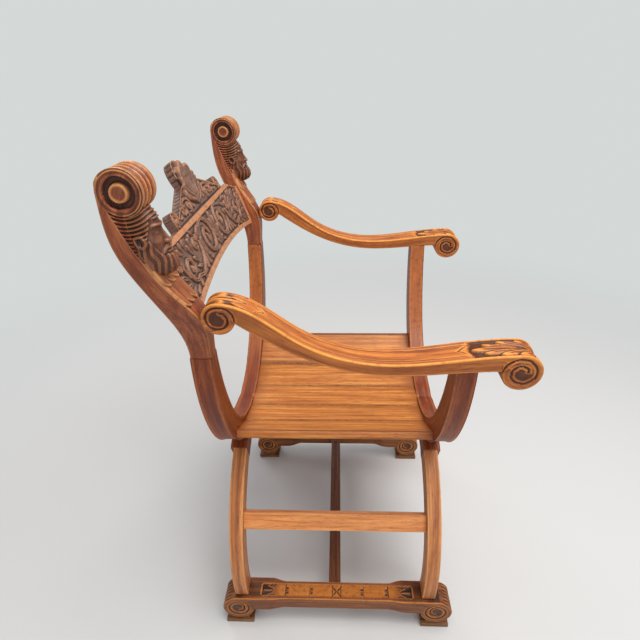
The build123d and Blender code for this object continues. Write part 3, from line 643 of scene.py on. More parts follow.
def member_relief(z, x, face, shown, over):
    """Show face of a member: gadroons between rims round the U, slanted nicks above and below,
    and the flat that lies underneath at the half lap let down by a hair."""
    away = np.hypot(x, z - U_Z) - sum(U_RADII) / 2
    turn = np.degrees(np.arctan2(np.abs(x), U_Z - z))
    round_u = step(z, 0.40, 0.41) * step(66 - turn, 0, 4) * step(turn, 8, 9)
    round_u = round_u * within(away, GADROON_HALF, 0.002)
    lobe = np.abs(np.sin(turn / GADROON_PITCH * math.pi)) ** 0.85
    pitch, long, wide = MEMBER_NICK
    beat = off_beat(turn, pitch)
    slant = np.abs(np.abs(away) - 0.0045 + beat * 0.0006)
    nicked = step(turn, 70, 72) * step(0.73 - z, 0, 0.004)
    depth = -(GADROON_CUTS[0] + GADROON_CUTS[1] * (1 - lobe)) * round_u
    depth = depth - MEMBER_NICK_CUT * almond(beat, long, slant, wide) * nicked
    depth = np.where(face == shown, depth, 0)
    lapped = within(x, LAP_HALF, 0.002) * ((face == shown) != over)
    top = MEMBER_TOPS["front"]
    return depth - LAP_CUT * lapped, -step(z, top - 0.005, top - 0.003), 0.0


def member_edge_relief(travelled, y, edge, share):
    """No carving, but the inside of the U is lit with a painted highlight, lighter than the
    outside.
    """
    inside = (np.arange(len(edge)) < MEMBER_COUNT) * step(edge[:, 0], 0.47, 0.55)
    return 0.0, 0.62 * inside, 0.0


member_wood = waxed_wood("member_wood", (0.075, 0.010, 0.003), (0.20, 0.034, 0.006),
                         (0.38, 0.098, 0.020), carved=True, gold=(0.68, 0.225, 0.050))
for end, shown in FRAMES:
    member_line = strip_loop(*member_edges(MEMBER_TOPS[end]))
    for name, side in SIDES:
        over = (name == "left") == (end == "front")
        hew(f"member_{end}_{name}", *member_line, level(FRAME_DEPTH[end]), member_wood,
            f"{end}_s_member_{name}", side, FRAME_ROWS, "zxy", member_edge_relief,
            partial(member_relief, shown=shown, over=over))
finish_node(peg_wood, "crossing_pin", "crossing_boss")

# --- Seat ----------------------------------------------------------------------------------
# Five boards laid round a shallow dish, with their ends let into both frames. Dirt darkens
# the joints between them, and the boards darken towards their ends.

SEAT_SEAMS = (0.0389, 0.1148, 0.1975)
SEAT_ENDS = (0.165, 0.205)

seat_wood = waxed_wood("seat_wood", (0.22, 0.056, 0.011), (0.51, 0.168, 0.032),
                       (0.76, 0.32, 0.074), blotch=0.45, wear_and_highlight=0.8, seams=SEAT_SEAMS,
                       ends=SEAT_ENDS)
for board in ("edge_left", "left", "middle", "right", "edge_right"):
    finish_node(seat_wood, f"seat_board_{board}")

# --- Arms ----------------------------------------------------------------------------------
# S-curved arms, scrolled at both ends. Two scratched lines run along each border and turn
# into a chevron before an acanthus leaf that laps over the front volute; a fluted leaf laps
# over the rear one, and a spiral is cut into the flats of both.

ARM_INNER = (0.266, 0.276)
ARM_OUTER = 0.323
ARM_TAPER_Y = (-0.2018, 0.052)
ARM_REAR = ((0.1725, 0.8355), 0.0265, 197)
ARM_FRONT = ((-0.2983, 0.741), 0.0325, 4)
ARM_BEND = (0.052, 0.797)
ARM_LOW = (-0.078, 0.756)
ARM_NECK = (-0.2198, 0.741)
ARM_THICK = (0.0275, 0.0215)
ARM_COUNTS = (330, 300, 150)
ARM_PLACES = ((0, 0.04, 0.14, 0.36, 0.64, 0.86, 0.96, 1),
              (0, 0.06, 0.17, 0.29, 0.71, 0.83, 0.94, 1))
ARM_BORDER = 0.0120
ARM_CHEVRONS = (0.0783, 0.060)
SCRATCH_CUT = 0.0020
CHEVRON_CUT = 0.0024
LEAF_CUT = 0.0046
FLUTE_CUTS = (0.0004, 0.0044)
LEAF_MIDRIB = ((0.010, 0.0012), (-0.074, 0.0), 0.0070)
LEAF_LOBES = ((-0.038, 0.0120, 0.0060), (-0.014, 0.0178, 0.0070), (0.014, 0.0185, 0.0074),
              (0.042, 0.0185, 0.0074), (0.068, 0.0185, 0.0066))
KNOB = (0.004, 0.0060, 0.0130, 0.0050)
KNOB_HIGH = 0.0030
ARM_CUT = (0.0032, 0.0021)
FRONT_PITCH = (1, 0.74, 0.69, 0.6, 0.53, 0.36, 0.27)
REAR_PITCH = (1, 0.76, 0.71, 0.64, 0.58, 0.42)


def arm_span(y, z):
    """Flats of an arm: upright outside, tapered towards the back inside."""
    inner = np.interp(y, ARM_TAPER_Y, ARM_INNER)
    return inner, np.full(np.shape(y), ARM_OUTER)


def leaf_lobe(along, aside, root, tip, width):
    """Height of one lobe of a leaf between its root and its tip, and where its tip is: it widens
    evenly to a round, blunt end, is rounded across and has a sunk vein."""
    run = (tip[0] - root[0], tip[1] - root[1])
    long = math.hypot(*run)
    u = ((along - root[0]) * run[0] + (aside - root[1]) * run[1]) / long**2
    v = ((along - root[0]) * run[1] - (aside - root[1]) * run[0]) / long
    blunt = np.sqrt(np.clip(1 - ((u - 0.6) / 0.42) ** 2, 0, 1))
    half = width * np.where(u < 0.6, 0.3 + 0.7 * u / 0.6, blunt)
    over = np.clip(1 - (v / np.maximum(half, 1e-6)) ** 2, 0, 1)
    vein = 0.45 * swell(v, 0.2 * width) * step(0.9 - u, 0, 0.2)
    lobe = np.sqrt(over) * (0.55 + 0.45 * np.clip(u, 0, 1)) - vein
    here = (u > 0) & (u < 1.02) & (over > 0)
    return np.where(here, np.maximum(lobe, 0.12), 0), np.where(here, over * step(u, 0.70, 0.92), 0)


def arm_relief(travelled, x, edge, share):
    """Top of an arm: a scratched line inside each border, a chevron at both ends, a leaf over
    the front roll and flutes over the rear one, measured from over the rolls' centres."""
    (front_y, front_z), radius, _ = ARM_FRONT
    over_front = np.argmin(np.hypot(edge[:, 0] - front_y, edge[:, 1] - front_z - radius))
    along = travelled - travelled[over_front]
    rear_along = np.where(travelled > travelled[-1] / 2, travelled - travelled[-1], travelled)
    low, high = arm_span(edge[:, 0], edge[:, 1])
    half = (high - low) / 2
    across = (x - (low + high) / 2) / half
    aside = np.abs(across) * half
    inset = half - aside
    ends = (-along - ARM_CHEVRONS[0], rear_along - ARM_CHEVRONS[1])
    marks = SCRATCH_CUT * groove(inset - ARM_BORDER, 0.0016)
    for gap in ends:
        marks = marks * step(gap, -0.001, 0.001)
    for gap in ends:
        width = 0.0024 * step(inset - ARM_BORDER, -0.001, 0.009)
        chevron = groove(gap - (inset - ARM_BORDER) * 1.15, np.maximum(width, 1e-4))
        marks = np.minimum(marks, CHEVRON_CUT * chevron)
    zone = step(along + 0.088 - 0.008 * np.minimum(np.abs(across), 1) ** 2, 0, 0.014)
    zone = zone * step(inset, 0.0036, 0.0048) * (along < 0.086)
    leaf, tips = leaf_lobe(along, aside, *LEAF_MIDRIB)
    for place, out, wide in LEAF_LOBES:
        root, tip = (place + 0.046, 0.0020), (place - 0.018, out)
        lobe, end = leaf_lobe(along, aside, root, tip, wide)
        tips = np.where(lobe > leaf, end, tips)
        leaf = np.maximum(leaf, lobe)
    flutes = np.abs(np.sin((across + 1) * math.pi * 2.5))
    reach = 0.034 + 0.012 * np.cos(across * math.pi * 2.5)
    fan = step(rear_along, -0.050, -0.040) * step(reach - rear_along, 0, 0.004)
    fan = fan * step(inset, 0.003, 0.0045)
    knob = swell(rear_along - KNOB[0], KNOB[1]) * swell(aside - KNOB[2], KNOB[3])
    carved = LEAF_CUT * zone * (np.clip(leaf, 0, 1) - 1)
    carved = carved + fan * (KNOB_HIGH * knob - FLUTE_CUTS[0] - FLUTE_CUTS[1] * (1 - flutes))
    # The leaf body and the fan of flutes are darker, and the scratched lines get painted shade in
    # step with their depth.
    return (np.where(along < 0.085, marks, 0) + carved,
            0.45 * tips * zone + 0.7 * knob * fan - 0.5 * zone * (1 - tips),
            0.52 * zone * (1 - tips) + 0.62 * fan * (1 - knob) - 180 * marks)


def arm_side_relief(y, z, face):
    """Volutes cut into the flats of an arm's rolls, starting at its underside."""
    front = volute_relief(y, z, *ARM_FRONT[:2], 4, 1, FRONT_PITCH, *ARM_CUT, 0.42, 0.18)
    rear = volute_relief(y, z, *ARM_REAR[:2], 190, -1, REAR_PITCH, *ARM_CUT, 0.50, 0.5)
    return tuple(one + other for one, other in zip(front, rear))


def arm_outline():
    """Edge line and spine of an arm: its top and its underside pass a bend and a low place."""
    over = [(centre[0], centre[1] + radius) for centre, radius, _ in (ARM_REAR, ARM_FRONT)]
    top = smooth_line((over[0], ARM_BEND, ARM_LOW, over[1]), ARM_COUNTS[0], (-1, 0), (-1, 0))
    rear_meet, front_meet = (arc(centre, radius, angle, angle, 1)[0]
                             for centre, radius, angle in (ARM_REAR, ARM_FRONT))
    under = [(y, z - thick) for (y, z), thick in zip((ARM_BEND, ARM_LOW), ARM_THICK)]
    base = smooth_line((front_meet, ARM_NECK, under[1], under[0], rear_meet), ARM_COUNTS[1])
    return scrolled_outline(top, base, (ARM_REAR, ARM_FRONT), ARM_COUNTS[2])


arm_wood = waxed_wood("arm_wood", (0.20, 0.040, 0.008), (0.50, 0.142, 0.025),
                      (0.73, 0.280, 0.052), blotch=0.7, carved=True, wear_and_highlight=0.7,
                      gold=(0.84, 0.35, 0.052))
arm_line = arm_outline()
# Both flats of each arm get painted shade, so its sides are darker than its top.
for name, side in SIDES:
    hew(f"armrest_{name}", *arm_line, arm_span, arm_wood, f"arm_{name}", side,
        (16, 3, np.interp(np.linspace(0, 1, 61), *ARM_PLACES)), edge_relief=arm_relief,
        side_relief=arm_side_relief, rounding=0.003, flat_wear=0.25, shadow_depth=0.014,
        flat_painted_shade=0.30)
finish_node(peg_wood, "arm_dowels")

# --- Back posts ----------------------------------------------------------------------------
# Raked posts, curled forward into a scroll with three flutes round it and a rimmed eye. Two
# tiers of leaves lap over the front of each, below a bearded mask.

POST_BASE = 0.748
POST_BACK_Y = 0.1982
POST_FRONT_LINE = ((0, 0), (0.003, 0.082), (0.030, 0.126), (0.066, 0.195))
POST_REAR_LINE = ((0.036, 0), (0.042, 0.048), (0.077, 0.142), (0.101, 0.204))
SCROLL = (0.2742, 1.030)
SCROLL_RADIUS = 0.031
SCROLL_X = 0.314
POST_NECK_Z = 0.850
POST_INNER = (0.2653, 0.271, 0.287)
POST_OUTER = (0.2963, 0.320, 0.341)
APRON_HEMS = (0.853, 0.888)
APRON_THICK = (0.0040, 0.0072)
APRON_TOP = 0.945
APRON_SCALLOP = 0.012
ROLL_FLUTES = (0.0016, 0.0048)
EYE_RING = (0.0125, 0.0225)
EYE_CUTS = (0.0078, 0.0007, 0.0016, 0.0002)
FLANK_CUTS = (0.0038, 0.0030)
HAIR_FOOT = 0.918
HAIR_ROWS = (0.0308, 0.0056)
FLANK_LINE = ((0.88, 0.925, 0.945, 0.965, 0.985, 1.005, 1.030),
              (0.05, 0.034, 0.0285, 0.024, 0.0185, 0.0115, 0.0085))
MASK_TILT = math.radians(15)
MASK_CENTRE = (0.262, 0.9605)
MASK_HEIGHTS = (-0.054, 0.050)
MASK_HALF = 0.0268
MASK_COUNT = 150
MASK_ROUND = 112
MASK_REACH = (
    (-0.054, -0.050, -0.042, -0.032, -0.022, -0.012, 0.0, 0.012, 0.022, 0.032, 0.042, 0.050),
    (0.014, 0.024, 0.032, 0.034, 0.032, 0.030, 0.0305, 0.0305, 0.0325, 0.031, 0.027, 0.021))
MASK_WIDE = ((-0.054, -0.048, -0.036, -0.018, 0.0, 0.02, 0.04, 0.050),
             (0.008, 0.013, 0.0185, 0.0215, 0.0215, 0.022, 0.0225, 0.0215))
NOSE_HIGH = ((-0.009, -0.0055, -0.002, 0.014, 0.020), (0, 0.0085, 0.0075, 0.0022, 0))
NOSE_WIDE = ((-0.006, 0.016), (0.0040, 0.0026))
EYE = (0.0088, 0.0052)
EAR_TURN = math.radians(84)
FACE_FORMS = ((0.0028, 0.0044, 0.0020, -0.0035, 0.0022), (-0.0040, 0.0088, 0.0052, 0.0115, 0.0042),
              (0.0034, 0.0088, 0.0036, 0.0110, 0.0027), (0.0022, 0.0135, 0.0055, -0.0015, 0.0050))
LIPS = ((0.0022, -0.0145, 0.0014), (0.0026, -0.0185, 0.0016), (-0.0026, -0.0165, 0.0008))


def post_side_lines():
    """Front and rear line of a post's side view as (y, z), from the joint up to the scroll."""
    lines = []
    for run, top_y in ((POST_FRONT_LINE, SCROLL[0]), (POST_REAR_LINE, SCROLL[0] + SCROLL_RADIUS)):
        points = [(POST_BACK_Y + back, POST_BASE + up) for back, up in run] + [(top_y, SCROLL[1])]
        lines.append(smooth_line(points, 340, (0, 1), (0, 1)))
    return lines


def in_front(y, z):
    """How far in front of a post's rear line a point lies."""
    return np.interp(z, REAR_LINE[:, 1], REAR_LINE[:, 0]) - y


def hair_rows(away):
    """Rows of hair, from -1 to 1, that run on round the scroll at each distance from it."""
    return -np.cos((away - HAIR_ROWS[0]) * 2 * math.pi / HAIR_ROWS[1])


def post_span(y, z):
    """Flats of a post, narrow at the neck and wider up to the scroll."""
    heights = (POST_BASE, POST_NECK_Z, SCROLL[1] - SCROLL_RADIUS)
    sides = []
    for places, lean in ((POST_INNER, 0.112), (POST_OUTER, -0.051)):
        line = smooth_line(list(zip(heights, places)), 120, (1, lean), (1, 0))
        sides.append(np.interp(z, line[:, 0], line[:, 1]))
    return sides


def post_outline():
    """Edge line and spine of a post: up its back, round the scroll and down its front."""
    front, rear = post_side_lines()
    front = front[np.hypot(*(front - SCROLL).T) > SCROLL_RADIUS]
    centre = np.array(SCROLL)
    meet = math.degrees(math.atan2(*(front[-1] - centre)[::-1])) % 360
    level_with = int(np.argmin(np.abs(rear[:, 1] - front[-1, 1])))
    paired = resampled(front, level_with)
    middle = (rear[:level_with] + paired) / 2
    spine_up = np.linspace(middle[-1], centre, len(rear) - level_with)
    roll = arc(SCROLL, SCROLL_RADIUS, 0, meet, 200)[1:]
    foot = np.linspace(paired[0], rear[0], 14)[1:-1]
    edge = np.concatenate((rear, roll, np.repeat(paired[-1:], len(spine_up), 0), paired[::-1],
                           foot))
    spine = np.concatenate((middle, spine_up, np.repeat(centre[None], len(roll), 0),
                            spine_up[::-1], middle[::-1], np.repeat(middle[:1], len(foot), 0)))
    return edge, spine


def post_relief(travelled, x, edge, share):
    """Three hollow flutes round the roll with sharp arrises between them, and two tiers of leaves
    down the front, each of three lobes with a scalloped hem."""
    y, z = edge.T
    away, turn = polar(y, z, SCROLL)
    turn = turn % 360
    on_roll = (away < SCROLL_RADIUS * 1.002) * step(turn, 8, 30) * step(262 - turn, 0, 8)
    aside = (x - SCROLL_X) / 0.0195
    hollow = np.abs(np.sin((aside + 1) * math.pi * 1.5)) ** 1.3 * (np.abs(aside) < 1)
    flutes = ROLL_FLUTES[0] - ROLL_FLUTES[1] * hollow
    low, high = post_span(y, z)
    across = (x - (low + high) / 2) / ((high - low) / 2)
    front = (in_front(y, z) > 0.012) & (away > SCROLL_RADIUS)
    lobe = np.abs(np.sin((across + 1) * math.pi * 1.5)) ** 0.7
    on_front = front * within(across, 1.0, 0.08)
    apron = 0.0
    for hem, thick in zip(APRON_HEMS, APRON_THICK):
        leaf = step(z - hem - APRON_SCALLOP * (1 - lobe), 0, 0.0012)
        leaf = leaf * step(APRON_TOP - z, 0, 0.01)
        apron = np.maximum(apron, leaf * thick * (0.25 + 0.75 * lobe))
    # The gold on the leaf lobes is a painted reflection and on the arrises between the flutes a
    # painted highlight; the darkening in the flute hollows is painted shade.
    wear = 0.25 * on_front * (apron > 0.001) * lobe + 0.45 * on_roll * (1 - hollow) ** 3
    wear = wear - 1.2 * (front & (z > HAIR_FOOT) & (away > SCROLL_RADIUS * 1.03))
    return on_roll * flutes + on_front * apron, wear, 0.42 * on_roll * hollow


def post_side_relief(y, z, face):
    """A flat strap curls round the scroll, a deep ring inside it leaves a rimmed eye, and the
    locks beside the mask are let in behind a line that runs down from the strap."""
    away, _ = polar(y, z, SCROLL)
    ring = step(EYE_RING[1] - away, 0, 0.0010) * step(away - EYE_RING[0], 0, 0.0007)
    strap = np.clip(1 - ((away - 0.0270) / 0.0036) ** 2, 0, 1)
    eye = np.clip(1 - (away / 0.0096) ** 2, 0, 1) ** 0.5
    flank = step(in_front(y, z) - np.interp(z, *FLANK_LINE), 0, 0.0008)
    flank = flank * step(away, 0.0300, 0.0308)
    locks = 0.5 + 0.5 * hair_rows(away)
    outer_rim = step(away, 0.0135, 0.0145) * step(0.0290 - away, 0, 0.001)
    rim = 1.4 * swell(away - 0.0112, 0.0014) - 0.8 * outer_rim
    joint = step(POST_BASE + 0.005 - z, 0, 0.002)
    depth = flank * (FLANK_CUTS[1] * locks - FLANK_CUTS[0])
    for cut, where in zip(EYE_CUTS, (ring, strap, eye, 1)):
        depth = depth - cut * where
    # The deep ring and the let-in locks get painted shade, and the strap and the eye are darker.
    return (depth, 0.7 * rim - 1.2 * flank - joint,
            0.45 * strap + 0.35 * eye + 0.3 * ring + 0.35 * flank)


def mask(name, side):
    """Bearded mask in its own upright frame, tilted back with the post: at each height a
    rounded section whose reach is moulded by rounded ridges and hollows."""
    heights = np.linspace(*MASK_HEIGHTS, MASK_COUNT)
    turns = np.radians(np.linspace(-MASK_ROUND, MASK_ROUND, MASK_COUNT))
    h, turn = np.meshgrid(heights, turns, indexing="ij")
    reach = np.interp(h, *MASK_REACH)
    wide = np.interp(h, *MASK_WIDE)
    aside = wide * np.sin(turn)
    q = np.abs(aside)

    def leaned(ahead):
        return (MASK_CENTRE[0] - ahead * math.cos(MASK_TILT) + h * math.sin(MASK_TILT),
                MASK_CENTRE[1] + h * math.cos(MASK_TILT) + ahead * math.sin(MASK_TILT) * 0.35)

    form = np.interp(h, *NOSE_HIGH) * swell(q, np.interp(h, *NOSE_WIDE))
    for high, at_q, wide_q, at_h, wide_h in FACE_FORMS:
        form += high * swell(q - at_q, wide_q) * swell(h - at_h, wide_h)
    off_eye = (q - EYE[0]) / EYE[1]
    lid = 0.0125 + 0.0022 * (1 - off_eye**2)
    form += 0.0010 * swell(h - lid, 0.0008) * (np.abs(off_eye) < 1)
    brow = 0.0185 + 0.0025 * np.cos((q - 0.009) / 0.012 * 1.4)
    form += 0.0026 * swell(h - brow, 0.0021) * within(q, 0.0175, 0.004)
    form *= step(np.cos(turn), 0.1, 0.5)
    lips = sum(high * swell(h - place, half) for high, place, half in LIPS)
    form += lips * within(q, 0.0075, 0.002)
    lock = -0.0098 - 0.0055 * (q / 0.010) ** 1.6
    strands = 0.75 + 0.25 * np.cos((h - lock) * math.pi * 2 / 0.0018)
    moustache = swell(h - lock, 0.0026) * strands * within(q, 0.017, 0.004)
    form += 0.0036 * moustache * step(q, 0.0, 0.001)
    jaw = -0.021 + 0.030 * step(q, 0.0135, 0.0215)
    beard = step(jaw - h, 0, 0.003)
    sway = np.sin((h + 0.02) * 190 + np.abs(turn) * 3.0)
    curl = np.sin(np.abs(turn) * 19.0 + 1.2 * sway + h * 90)
    strand = np.sin(np.abs(turn) * 57.0 + 3.0 * sway + h * 270)
    form += beard * (0.0020 + 0.0009 * curl + 0.0005 * strand)
    hairline = 0.0285 - 0.030 * step(q, 0.014, 0.0215)
    hair = step(h - hairline, 0, 0.0025) * (1 - beard)
    rolled, _ = polar(*leaned(reach * np.cos(turn)), SCROLL)
    form += hair * (0.0020 + 0.0015 * hair_rows(rolled))
    ear = np.hypot((np.abs(turn) - EAR_TURN) * 0.022 / 0.0052, (h - 0.002) / 0.0085)
    form += 0.0032 * swell(ear - 0.95, 0.3) - 0.0010 * swell(ear, 0.45)
    x = aside * (1 + form / np.maximum(wide, 0.01) * np.abs(np.sin(turn)))
    ahead = (reach + form) * np.cos(turn)
    ahead = np.where(np.cos(turn) < 0, -np.abs(ahead) * 0.8, ahead)
    grid = np.stack((np.clip(x, -MASK_HALF, MASK_HALF), *leaned(ahead)), 2)
    back = np.column_stack((np.zeros(len(heights)),
                            MASK_CENTRE[0] + 0.012 + heights * math.sin(MASK_TILT),
                            MASK_CENTRE[1] + heights * math.cos(MASK_TILT)))
    grid = np.concatenate((back[:, None], grid, back[:, None]), 1)
    caps = [np.repeat(back[k][None, None], grid.shape[1], 1) for k in (0, -1)]
    grid = np.concatenate((caps[0], grid, caps[1]), 0)
    low = np.pad(form, 1, mode="edge")
    blur = sum(np.roll(low, (i, j), (0, 1)) for i in (-4, 0, 4) for j in (-4, 0, 4)) / 9
    ridge = low - blur
    points = (grid.reshape(-1, 3) + (SCROLL_X, 0, 0)) * (side, 1, 1)
    # The mask's hollows get painted shade, and its crests gold for rubbing.
    return put_mesh(name, points, grid_faces(*grid.shape[:2])[:, ::side], points[:, [0, 2, 1]],
                    np.clip(0.74 + ridge / 0.0024, 0, 1), step(ridge, 0.0001, 0.0009), mask_wood)


post_wood = waxed_wood("post_wood", (0.11, 0.022, 0.009), (0.28, 0.066, 0.022),
                       (0.48, 0.160, 0.055), carved=True, wear_and_highlight=0.7, gold=(0.68, 0.310, 0.105))
mask_wood = waxed_wood("mask_wood", (0.060, 0.018, 0.009), (0.16, 0.050, 0.022),
                       (0.28, 0.10, 0.045), carved=True, sheen=0.26, wear_and_highlight=0.40)
REAR_LINE = post_side_lines()[1]
post_line = post_outline()
for name, side in SIDES:
    hew(f"post_{name}", *post_line, post_span, post_wood, f"back_post_{name}", side,
        (24, 3, np.linspace(0, 1, 60)), edge_relief=post_relief,
        side_relief=post_side_relief, flat_wear=0.3, shadow_depth=0.016, sharp=0.0026)
    mask(f"mask_{name}", side)
finish_node(peg_wood, "post_splice_tenons")

# --- Back panel ----------------------------------------------------------------------------
# A raked plank let into both posts, plain behind. Its face is carved: scrolled foliage on a
# sunk ground between plain bands, and a crest of coils and ribbed scrolls with a fluted shell
# leaf in the middle.

PANEL_HALF = 0.2835
PANEL_THICK = 0.018
PANEL_FACE = ((0.2152, 0.799), (0.2527, 0.903), (0.3162, 1.016))
PANEL_ARCH = (0.834, 0.802, 0.297)
PANEL_COLUMNS = 600
PANEL_ROWS = (114, 12, 9)
LEDGE = (0.925, 0.200)
SHOULDER = (0.903, 0.264)
CREST = ((0.150, 0.932), (0.104, 0.951), (0.035, 0.975))
CREST_TOP = 1.013
CREST_SCROLL = (0.150, 0.939, 0.014)
PALMETTE_FOOT = 0.9335
PALMETTE_FAN = 1.25
COIL_COUNTS = (46, 460)
PALMETTE_REACH = (0.0760, 0.028)
GROUND_CUT = 0.0042
WORK_HIGH = 0.0046
LEAF_HIGH = 0.0070
RIM_PITCHES = (0.0115, 0.0052, 0.0105)

# Coils in mm and degrees: centre, radius and angle at both ends, half width, lead points.
FIELD_COILS = (
    (56, 880.5, 35.2, 12.5, 62, 520, 3.7, ((112, 897.5), (92, 907.5))),
    (133.5, 890.5, 10.5, 3, 150, -250, 3.0, ((108, 900.5), (116, 900.5))),
    (194, 869, 22.5, 5, -118, 300, 3.4, ((112, 889), (118, 872), (137, 854), (160, 844.5))),
    (238.5, 886, 10, 3, 200, -200, 2.6, ((219.5, 862), (226, 876))))
CREST_COILS = (
    (60, 944, 10.5, 3.5, 100, 470, 2.4, ((98, 947), (80, 954))),
    (99, 939.5, 6.8, 2.6, 100, 440, 1.9, ((124, 940.5), (112, 945))),
    (150, 939, 11.5, 3.5, -80, 320, 2.4, ()))

# Almonds in mm: place, half length, half width, lean in degrees.
FIELD_ALMONDS = ((56.5, 879.5, 10, 4.5, -12), (133.5, 890.5, 4.2, 3.4, 0), (194, 869, 5.2, 4, 0))
CREST_ALMONDS = ((60, 944, 3.6, 3.0, 0), (150, 939, 3.4, 3.4, 0))

# Leaves in mm: root, tip, half width.
FIELD_LEAVES = (
    (0, 850, 0, 913.5, 6.2), (1, 854, 12.5, 902, 5), (2, 851, 17, 883, 4.6),
    (2, 848, 17, 862, 4.2), (103, 880, 96, 893, 4), (104, 876, 92, 856, 5.6),
    (107, 870, 106, 844, 5.8), (112, 862, 126, 843, 5.2), (40, 844, 22, 850, 3.4),
    (94, 864, 86, 847, 4.4), (150, 880, 156, 908, 5.8), (154, 874, 173, 901, 5.8),
    (148, 868, 169, 878, 5), (142, 856, 166, 861, 4.2), (178, 894, 180, 914, 5),
    (190, 896, 197, 914, 5), (200, 894, 216, 908, 5), (221, 860, 252, 874, 5.4),
    (221, 852, 254, 853, 5.6), (214, 845, 242, 833, 5.4), (198, 842, 216, 829, 4.6),
    (178, 844, 188, 833, 4.2), (160, 842, 150, 834, 3.6), (230, 899, 250, 901, 4),
    (144, 900, 143, 912, 3.6), (122, 906, 132, 914, 3.6), (252, 880, 259, 892, 3.6))
CREST_LEAVES = (
    (74, 943, 88, 934, 4.2), (74, 947, 89, 947, 3.6), (48, 950, 37, 965, 4.2),
    (44, 944, 37, 935, 3.6), (108, 938, 124, 934, 3.2), (50, 933.5, 68, 932.5, 2.2))


def circle_through(first, second, third):
    """Centre and radius of the circle through three points."""
    rows = 2 * (np.array((second, third)) - np.array(first))
    sums = [np.dot(point, point) - np.dot(first, first) for point in (second, third)]
    centre = np.linalg.solve(rows, sums)
    return centre, math.hypot(*(centre - np.array(first)))


face_centre, face_radius = circle_through(*PANEL_FACE)
arch_centre, arch_radius = circle_through((-PANEL_ARCH[2], PANEL_ARCH[1]), (0, PANEL_ARCH[0]),
                                          (PANEL_ARCH[2], PANEL_ARCH[1]))
cap_centre, cap_radius = circle_through((-CREST[2][0], CREST[2][1]), (0, CREST_TOP), CREST[2])


def over_circle(x, centre, radius):
    """Height of the upper half of a circle at each place across it."""
    return centre[1] + np.sqrt(np.clip(radius**2 - (x - centre[0]) ** 2, 0, None))


def panel_top(x):
    """Height of the panel's upper outline: shoulders, ledge, crest scrolls, rise and cap."""
    aside = np.abs(x)
    top = np.interp(aside, (LEDGE[1], SHOULDER[1]), (LEDGE[0], SHOULDER[0]))
    rise = smooth_line(CREST[::-1], 80)
    climb = np.interp(aside, rise[:, 0], rise[:, 1])
    top = np.where((aside >= CREST[2][0]) & (aside < CREST[0][0]), climb, top)
    cap = over_circle(aside, (0, cap_centre[1]), cap_radius)
    top = np.where(aside < CREST[2][0], cap, top)
    scroll = over_circle(aside, CREST_SCROLL[:2], CREST_SCROLL[2])
    on_scroll = np.abs(aside - CREST_SCROLL[0]) < CREST_SCROLL[2]
    return np.where(on_scroll, np.maximum(top, scroll), top)


def coil(x, z, centre, radii, turns, half, lead):
    """Height of a flat-topped band with a sunk vein, as wide as half at mid length. It runs
    from its lead points into a coil whose radius and angle go evenly between the two given."""
    share = np.linspace(0, 1, COIL_COUNTS[0])
    turn = np.radians(turns[0] + (turns[1] - turns[0]) * share)
    radius = radii[0] + (radii[1] - radii[0]) * share**1.2
    curl = np.stack((centre[0] + radius * np.cos(turn), centre[1] + radius * np.sin(turn)), 1)
    line = smooth_line(np.concatenate((np.reshape(lead, (-1, 2)), curl[::3])), COIL_COUNTS[1])
    height = np.zeros(x.shape)
    low, high = line.min(0) - 1.5 * half, line.max(0) + 1.5 * half
    close = (x > low[0]) & (x < high[0]) & (z > low[1]) & (z < high[1])
    gaps = np.hypot(x[close][:, None] - line[:, 0], z[close][:, None] - line[:, 1])
    gap = gaps.min(1)
    wide = half * (0.7 + 0.3 * np.sin(gaps.argmin(1) / (len(line) - 1) * math.pi))
    vein = 0.42 * swell(gap, 0.3 * half) * (gap < wide)
    height[close] = step(wide - gap, -0.0003, 0.0007) - vein
    return height


def drop(x, z, place, long, wide, lean):
    """Height of a smooth almond standing at a place."""
    turn = math.radians(lean)
    u = ((x - place[0]) * math.cos(turn) + (z - place[1]) * math.sin(turn)) / wide
    v = ((z - place[1]) * math.cos(turn) - (x - place[0]) * math.sin(turn)) / long
    return 1.1 * np.sqrt(np.clip(1 - (u / np.clip(1 - 0.5 * v, 0.4, 1.5)) ** 2 - v**2, 0, 1))


def foliage(x, z, coils, almonds, leaves):
    """Height of a field of carving, the same on both halves: coils, almonds and leaves."""
    a = np.abs(x)
    parts = []
    for *sizes, lead in coils:
        size = np.array(sizes) / 1000
        parts.append(coil(a, z, size[:2], size[2:4], sizes[4:6], size[6], np.array(lead) / 1000))
    for *sizes, lean in almonds:
        size = np.array(sizes) / 1000
        parts.append(drop(a, z, size[:2], size[2], size[3], lean))
    for size in np.array(leaves) / 1000:
        parts.append(leaf_lobe(a, z, size[:2], size[2:4], size[4])[0])
    return np.max(parts, axis=0)


def palmette(x, z):
    """Height of the shell leaf in the middle of the crest: round its foot its reach falls with
    the angle, seven flutes run out from it, and the tips curl forward."""
    turn = np.arctan2(x, z - PALMETTE_FOOT)
    away = np.hypot(x, z - PALMETTE_FOOT)
    flute = np.abs(np.cos(turn * 3.5 / PALMETTE_FAN * math.pi)) ** 0.7
    reach = PALMETTE_REACH[0] - PALMETTE_REACH[1] * (np.abs(turn) / PALMETTE_FAN) ** 1.3
    reach = reach * (0.90 + 0.10 * flute)
    inside = step(reach - away, 0, 0.0015) * within(turn, PALMETTE_FAN, 0.03)
    share = np.clip(away / reach, 0, 1)
    tips = 1.25 * step(share, 0.55, 0.97) ** 1.6 * step(z, 0.950, 0.990)
    return inside * (0.20 + 0.55 * flute * step(share, 0.05, 0.35) + tips)


